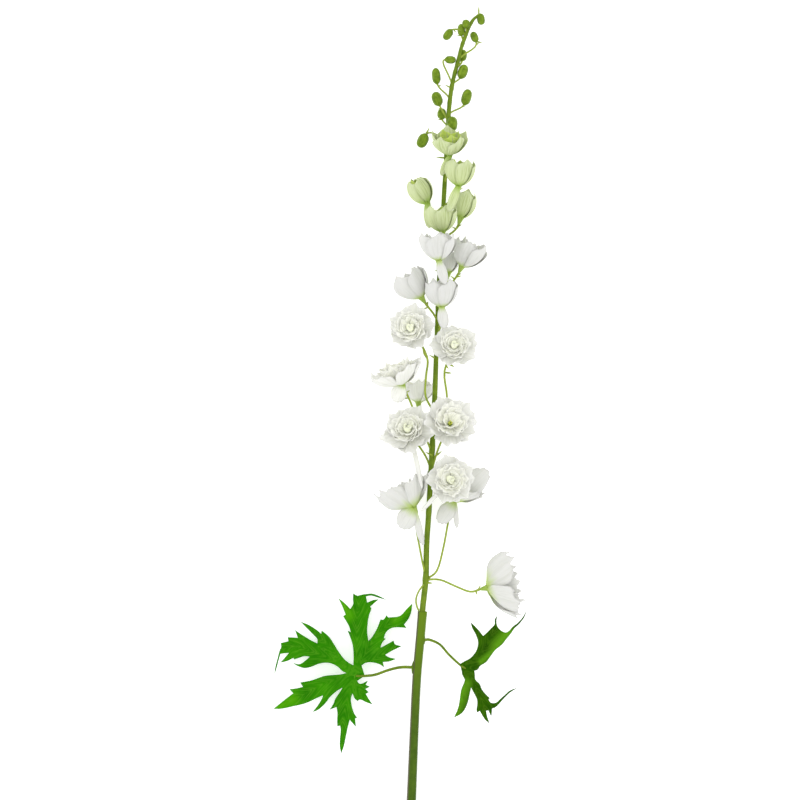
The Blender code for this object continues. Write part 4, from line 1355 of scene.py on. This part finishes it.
# %% Leaf outlines and ribs
LEFT_LOBES = [
    [(6.5, 10.5), (11.0, 13.3), (18.0, 13.5), (25.0, 11.5), (29.0, 8.7), (27.8, 14.0), (34.0, 14.5),
     (41.5, 17.0), (34.0, 18.5), (30.0, 21.0), (37.0, 25.0), (46.5, 29.5), (40.0, 31.5), (38.5, 35.3),
     (31.0, 31.0), (25.5, 28.3)],
    [(27.0, 33.0), (30.7, 37.2), (28.8, 37.7), (31.0, 43.5), (36.0, 47.5), (43.0, 48.5), (51.5, 47.7),
     (49.0, 51.0), (54.0, 57.5), (56.5, 64.5), (57.3, 72.0), (51.0, 65.5), (45.0, 59.5), (33.0, 58.3),
     (31.5, 60.5), (28.5, 56.2), (25.5, 56.3), (22.0, 47.5), (17.5, 39.5), (13.5, 34.9)],
    [(12.2, 42.5), (12.5, 51.5), (14.0, 60.5), (16.3, 67.0), (15.0, 69.0), (19.0, 72.5), (23.5, 76.2),
     (18.0, 75.5), (12.0, 73.0), (10.8, 79.3), (16.0, 80.1), (23.0, 78.1), (31.5, 75.7), (24.0, 79.5),
     (17.0, 81.9), (11.0, 81.5), (6.0, 80.7), (2.0, 79.8), (-2.0, 82.3), (-2.2, 76.5), (-2.0, 71.5),
     (-5.0, 66.7), (-10.0, 72.0), (-17.0, 77.7), (-13.0, 69.5), (-9.5, 61.2), (-12.0, 59.5),
     (-9.5, 55.5), (-6.0, 49.5), (-4.4, 43.9), (-7.5, 45.3), (-5.5, 40.5), (-2.5, 31.5), (-1.5, 21.5),
     (-1.7, 10.7)],
    [(-7.0, 13.7), (-11.0, 17.0), (-16.0, 23.5), (-21.0, 31.5), (-25.0, 37.7), (-29.0, 41.7),
     (-33.5, 45.2), (-34.0, 41.9), (-39.0, 46.0), (-47.0, 50.8), (-54.8, 53.7), (-49.0, 48.0),
     (-42.0, 41.2), (-38.0, 36.7), (-38.0, 32.5), (-44.0, 35.3), (-51.0, 39.5), (-56.0, 42.5),
     (-60.4, 45.7), (-57.5, 37.8), (-67.6, 38.3), (-67.0, 34.3), (-74.8, 32.3), (-74.2, 28.5),
     (-76.0, 24.5), (-78.0, 16.5), (-80.0, 9.0), (-81.2, 1.0), (-79.0, 7.5), (-77.2, 14.5),
     (-75.2, 21.5), (-71.0, 22.3), (-66.3, 22.5), (-70.0, 18.3), (-75.0, 12.9), (-69.0, 14.3),
     (-62.0, 17.7), (-61.0, 16.2), (-56.0, 17.9), (-51.0, 19.5), (-45.5, 19.1), (-50.0, 15.1),
     (-56.0, 11.5), (-62.4, 12.7), (-58.0, 9.9), (-51.0, 7.7), (-44.0, 9.0), (-37.0, 11.9),
     (-30.0, 13.2), (-23.0, 12.2), (-17.0, 8.9), (-13.0, 5.0), (-9.0, 3.0)],
    [(-13.0, 1.7), (-21.0, 1.0), (-30.0, 0.1), (-37.0, -2.2), (-44.0, -4.7), (-55.0, -6.8),
     (-52.2, -11.3), (-59.0, -12.9), (-65.8, -13.7), (-62.0, -17.8), (-69.0, -23.1), (-75.0, -28.1),
     (-82.4, -34.1), (-74.0, -33.7), (-63.0, -31.1), (-52.0, -28.4), (-44.0, -25.1), (-38.0, -22.1),
     (-32.0, -19.5), (-34.0, -24.3), (-38.0, -30.5), (-42.8, -36.5), (-37.0, -34.1), (-30.0, -27.7),
     (-25.0, -21.1), (-19.0, -15.7), (-12.4, -11.5)],
    [(-15.0, -15.7), (-20.0, -23.0), (-21.5, -27.5), (-25.5, -34.0), (-18.7, -31.1), (-17.7, -37.5),
     (-18.0, -43.5), (-17.8, -50.7), (-15.0, -50.1), (-14.4, -54.5), (-15.2, -63.5), (-15.4, -71.5),
     (-14.0, -78.7), (-11.6, -71.5), (-9.8, -63.5), (-7.8, -53.5), (-5.4, -43.9), (-2.0, -48.0),
     (0.8, -51.3), (0.0, -42.7), (2.0, -41.9), (-1.0, -37.5), (-3.5, -29.5), (-4.2, -22.5),
     (-2.5, -17.3)],
    [(-0.5, -22.5), (2.5, -25.1), (4.8, -23.5), (11.0, -26.3), (17.3, -28.7), (13.5, -23.0),
     (10.6, -18.0), (13.6, -16.3), (10.2, -13.0), (14.8, -10.7), (10.6, -8.9), (12.8, -4.5),
     (7.0, -7.5), (4.0, -7.5), (2.0, -5.0), (7.0, -1.7), (9.2, 1.0), (8.0, 5.5)],
]
LEFT_RIBS = [
    [(8.0, 18.0), (16.0, 32.0), (26.0, 46.0), (38.0, 54.0), (56.0, 70.0)],
    [(14.0, 14.0), (28.0, 22.0), (44.0, 29.0)],
    [(2.0, 30.0), (2.0, 58.0), (4.0, 80.0)],
    [(-14.0, 16.0), (-26.0, 30.0), (-38.0, 40.0), (-53.0, 53.0)],
    [(-18.0, 14.0), (-36.0, 22.0), (-56.0, 29.0), (-66.0, 29.0), (-75.0, 24.0)],
    [(-8.0, 2.0), (-32.0, -8.0), (-54.0, -20.0), (-80.0, -33.0)],
    [(-6.0, -14.0), (-12.0, -42.0), (-14.0, -77.0)],
    [(2.0, -10.0), (9.0, -20.0), (16.0, -28.0)],
]
# Strips where the left leaf is painted lighter, a painted highlight: start, end and width.
LEFT_PAINTED_HIGHLIGHT = [
    ((40.0, 56.0), (56.0, 70.0), 7.0),
    ((-6.0, 60.0), (-16.0, 77.0), 8.0),
    ((-62.0, -24.0), (-80.0, -33.0), 9.0),
]
RIGHT_LOBES = [
    [(-3.0, 3.5), (2.0, 6.5), (7.0, 9.0), (11.0, 13.0), (14.0, 18.0), (15.3, 24.0), (14.8, 28.0),
     (12.5, 34.0), (9.2, 40.0), (7.8, 45.5), (13.0, 40.5), (17.0, 36.0), (20.3, 31.6), (24.0, 34.8),
     (28.0, 38.8), (31.8, 43.0), (32.0, 48.0), (34.5, 52.5), (33.6, 47.0), (34.2, 42.0), (36.5, 38.5),
     (40.0, 36.0), (43.0, 35.2), (46.5, 37.0), (50.0, 41.0), (55.0, 44.6), (60.0, 50.2), (64.2, 57.2),
     (61.4, 50.0), (56.5, 43.6), (51.5, 39.0), (48.0, 34.0), (43.0, 28.0), (39.0, 23.0), (32.0, 17.4),
     (28.0, 12.0), (23.0, 5.5), (17.0, 1.8), (15.0, -1.5), (11.3, -3.0)],
    [(11.8, -6.5), (12.3, -12.0), (16.5, -16.2), (19.0, -22.0), (24.0, -28.0), (26.8, -30.4),
     (25.6, -32.0), (27.5, -35.0), (31.0, -35.6), (34.0, -34.6), (37.0, -31.8), (43.0, -26.4),
     (47.0, -23.0), (55.0, -20.0), (48.0, -24.4), (44.0, -27.8), (40.0, -32.0), (37.0, -35.4),
     (33.0, -39.4), (29.0, -41.2), (29.0, -44.4), (28.4, -49.0), (25.7, -43.0), (23.3, -43.4),
     (23.9, -48.0), (26.8, -56.4), (22.5, -52.5), (19.0, -47.0), (17.0, -43.2), (14.2, -44.8),
     (13.8, -42.0), (14.5, -37.0), (14.3, -32.0), (12.0, -27.0), (8.2, -19.6)],
    [(6.7, -26.0), (5.0, -34.0), (2.0, -41.5), (-2.0, -46.5), (-9.0, -50.4), (-6.0, -44.0),
     (-4.0, -38.0), (-2.8, -30.0), (-1.5, -22.0), (1.5, -14.5), (2.0, -12.0), (-0.5, -7.0),
     (-1.2, -3.0)],
]
RIGHT_RIBS = [
    [(6.0, 6.0), (16.0, 12.0), (24.0, 22.0), (32.0, 40.0)],
    [(8.0, -8.0), (16.0, -26.0), (22.0, -40.0), (25.0, -54.0)],
    [(4.0, -10.0), (2.0, -26.0), (-3.0, -40.0), (-8.0, -50.0)],
]
# Strips where the right leaf is painted lighter, a painted highlight: start, end and width.
RIGHT_PAINTED_HIGHLIGHT = [
    ((18.0, 6.0), (32.0, 18.0), 4.5),
    ((34.0, 22.0), (46.0, 36.0), 9.0),
    ((3.0, -16.0), (-8.0, -48.0), 8.0),
]
LEFT_STALK = [
    (13.1, -242.2, 13.5, 1.5), (0.5, -242.0, 17.0, 1.5), (-12.2, -244.8, 20.0, 1.4),
    (-25.0, -249.2, 21.5, 1.4), (-36.5, -250.5, 21.0, 1.3), (-44.0, -250.5, 20.0, 1.0),
]
RIGHT_STALK = [
    (24.9, -214.6, 15.5, 1.4), (30.0, -214.5, 17.0, 1.4), (40.0, -219.0, 20.0, 1.3),
    (49.0, -229.0, 22.0, 1.3), (60.3, -239.4, 22.5, 1.2), (66.0, -243.0, 22.0, 0.9),
]
print("outline points:", sum(map(len, LEFT_LOBES)), "and", sum(map(len, RIGHT_LOBES)))

# %% [markdown]
# ## From outline to leaf
#
# Between two corners the edge of a leaf flows, so a short curve joins them, and it only keeps a
# corner where there is a tooth or a notch. The outline becomes one face, and planes slice that face
# into small squares, as a cook scores dough. A subdivision modifier would round the teeth off, and
# these cuts leave the outline alone.

# %% Helpers for leaves
CUT_STEP = 2.4
SHARP_TURN = math.radians(60.0)


def flowing_outline(corners, steps):
    """Joins the corners with short curves that only stay sharp at a tooth or a notch."""
    corners = [Vector(corner) for corner in corners]
    ways = []
    for before, here, after in zip(corners[-1:] + corners, corners, corners[1:] + corners[:1]):
        sharp = (here - before).angle(after - here) > SHARP_TURN
        ways.append(None if sharp else (after - before).normalized())
    outline = []
    for k, start in enumerate(corners):
        end = corners[(k + 1) % len(corners)]
        chord = end - start
        leaving = ways[k] * chord.length if ways[k] else chord
        arriving = ways[(k + 1) % len(corners)]
        arriving = arriving * chord.length if arriving else chord
        for j in range(steps):
            t = j / steps
            point = start.lerp(end, t * t * (3.0 - 2.0 * t))
            outline.append(point + leaving * (t * (1.0 - t) ** 2) - arriving * (t * t * (1.0 - t)))
    return outline


def distance_to(point, start, end):
    """Distance from a point to the line between two others, and how far along it that is."""
    along = Vector(end) - Vector(start)
    away = Vector(point) - Vector(start)
    part = max(0.0, min(1.0, away.dot(along) / along.length_squared))
    return (away - along * part).length, part * along.length


def nearest_rib(point, ribs):
    """Distance from a point to the nearest rib, and how far along that rib it lies."""
    best = (Vector(point).length, 0.0)
    for rib in ribs:
        passed = 0.0
        for start, end in zip([(0.0, 0.0)] + rib, rib):
            near, along = distance_to(point, start, end)
            best = min(best, (near, passed + along))
            passed += (Vector(end) - Vector(start)).length
    return best


def slice_into_squares(mesh, step):
    """Cuts the mesh with rows of planes, so that it can bend."""
    for axis in (0, 1):
        low = min(vertex.co[axis] for vertex in mesh.verts)
        high = max(vertex.co[axis] for vertex in mesh.verts)
        normal = Vector((0.0, 0.0, 0.0))
        normal[axis] = 1.0
        for k in range(1, int((high - low) / step) + 1):
            everything = mesh.verts[:] + mesh.edges[:] + mesh.faces[:]
            bmesh.ops.bisect_plane(
                mesh, geom=everything, dist=0.0001, plane_co=normal * (low + k * step), plane_no=normal
            )


print("leaves are cut into squares of", CUT_STEP, "mm")

# %% [markdown]
# ## Folds, ribs and tips
#
# A real leaf isn't flat: each lobe folds up along its rib, the rib itself is a fine groove and the
# tips hang. So each point of the flat leaf is lifted by how far it is from a rib and from the
# middle. The same distances are kept on the mesh for the leaf cloth, which draws its veins by them.

# %% Build the leaves
FOLD_WIDTH = 9.0
LEAF_REACH = 80.0
GROOVE_DEPTH = 0.5
GROOVE_WIDTH = 1.2
BLADE = 0.6


def painted_highlight_share(point, painted_highlight):
    """How much painted highlight a point gets: 1 in the middle of a strip, going to 0 at its width."""
    shares = [1.0 - distance_to(point, start, end)[0] / width for start, end, width in painted_highlight]
    return max([0.0] + shares)


def build_leaf(name, centre, lobes, ribs, painted_highlight, droop, fold, look, slot):
    """Droop is how far the tips hang, and fold is how steeply the lobes fold up."""
    mesh = start_mesh()
    distance = mesh.verts.layers.float.new("rib_distance")
    passed = mesh.verts.layers.float.new("rib_along")
    turned = mesh.verts.layers.float.new("turned")
    corners = [corner for lobe in lobes for corner in lobe]
    mesh.faces.new([mesh.verts.new((*point, 0.0)) for point in flowing_outline(corners, 3)])
    slice_into_squares(mesh, CUT_STEP)
    bmesh.ops.triangulate(mesh, faces=mesh.faces[:])
    for vertex in mesh.verts:
        place = vertex.co.xy
        near, along = nearest_rib(place, ribs)
        vertex[distance] = near
        vertex[passed] = along
        # Painted highlight: how much lighter this point is painted, kept as the number turned.
        vertex[turned] = painted_highlight_share(place, painted_highlight)
        height = fold * min(near, FOLD_WIDTH) - droop * (place.length / LEAF_REACH) ** 2
        groove = GROOVE_DEPTH * math.exp(-((near / GROOVE_WIDTH) ** 2))
        vertex.co = Vector(centre) + Vector((*place, height - groove))
    mesh.normal_update()
    return finish_piece(name + "_blade", mesh, look, slot, [name], BLADE)


def build_leaf_stalk(name, rows):
    mesh = start_mesh()
    add_tube(mesh, *split_rows(rows, 5), 12)
    return finish_piece(name, mesh, rod_plastic, "rod_green")


left_leaf = build_leaf("leaf_left", (-45.0, -250.5, 20.0), LEFT_LOBES, LEFT_RIBS, LEFT_PAINTED_HIGHLIGHT,
                       droop=14.0, fold=0.22, look=bright_leaf_cloth, slot="leaf_green")
right_leaf = build_leaf("leaf_right", (63.0, -242.0, 22.0), RIGHT_LOBES, RIGHT_RIBS, RIGHT_PAINTED_HIGHLIGHT,
                        droop=9.0, fold=0.5, look=dark_leaf_cloth, slot="dark_leaf_green")
left_leaf_stalk = build_leaf_stalk("leaf_left_stalk", LEFT_STALK)
right_leaf_stalk = build_leaf_stalk("leaf_right_stalk", RIGHT_STALK)
print("leaf faces:", len(left_leaf.data.polygons), len(right_leaf.data.polygons))
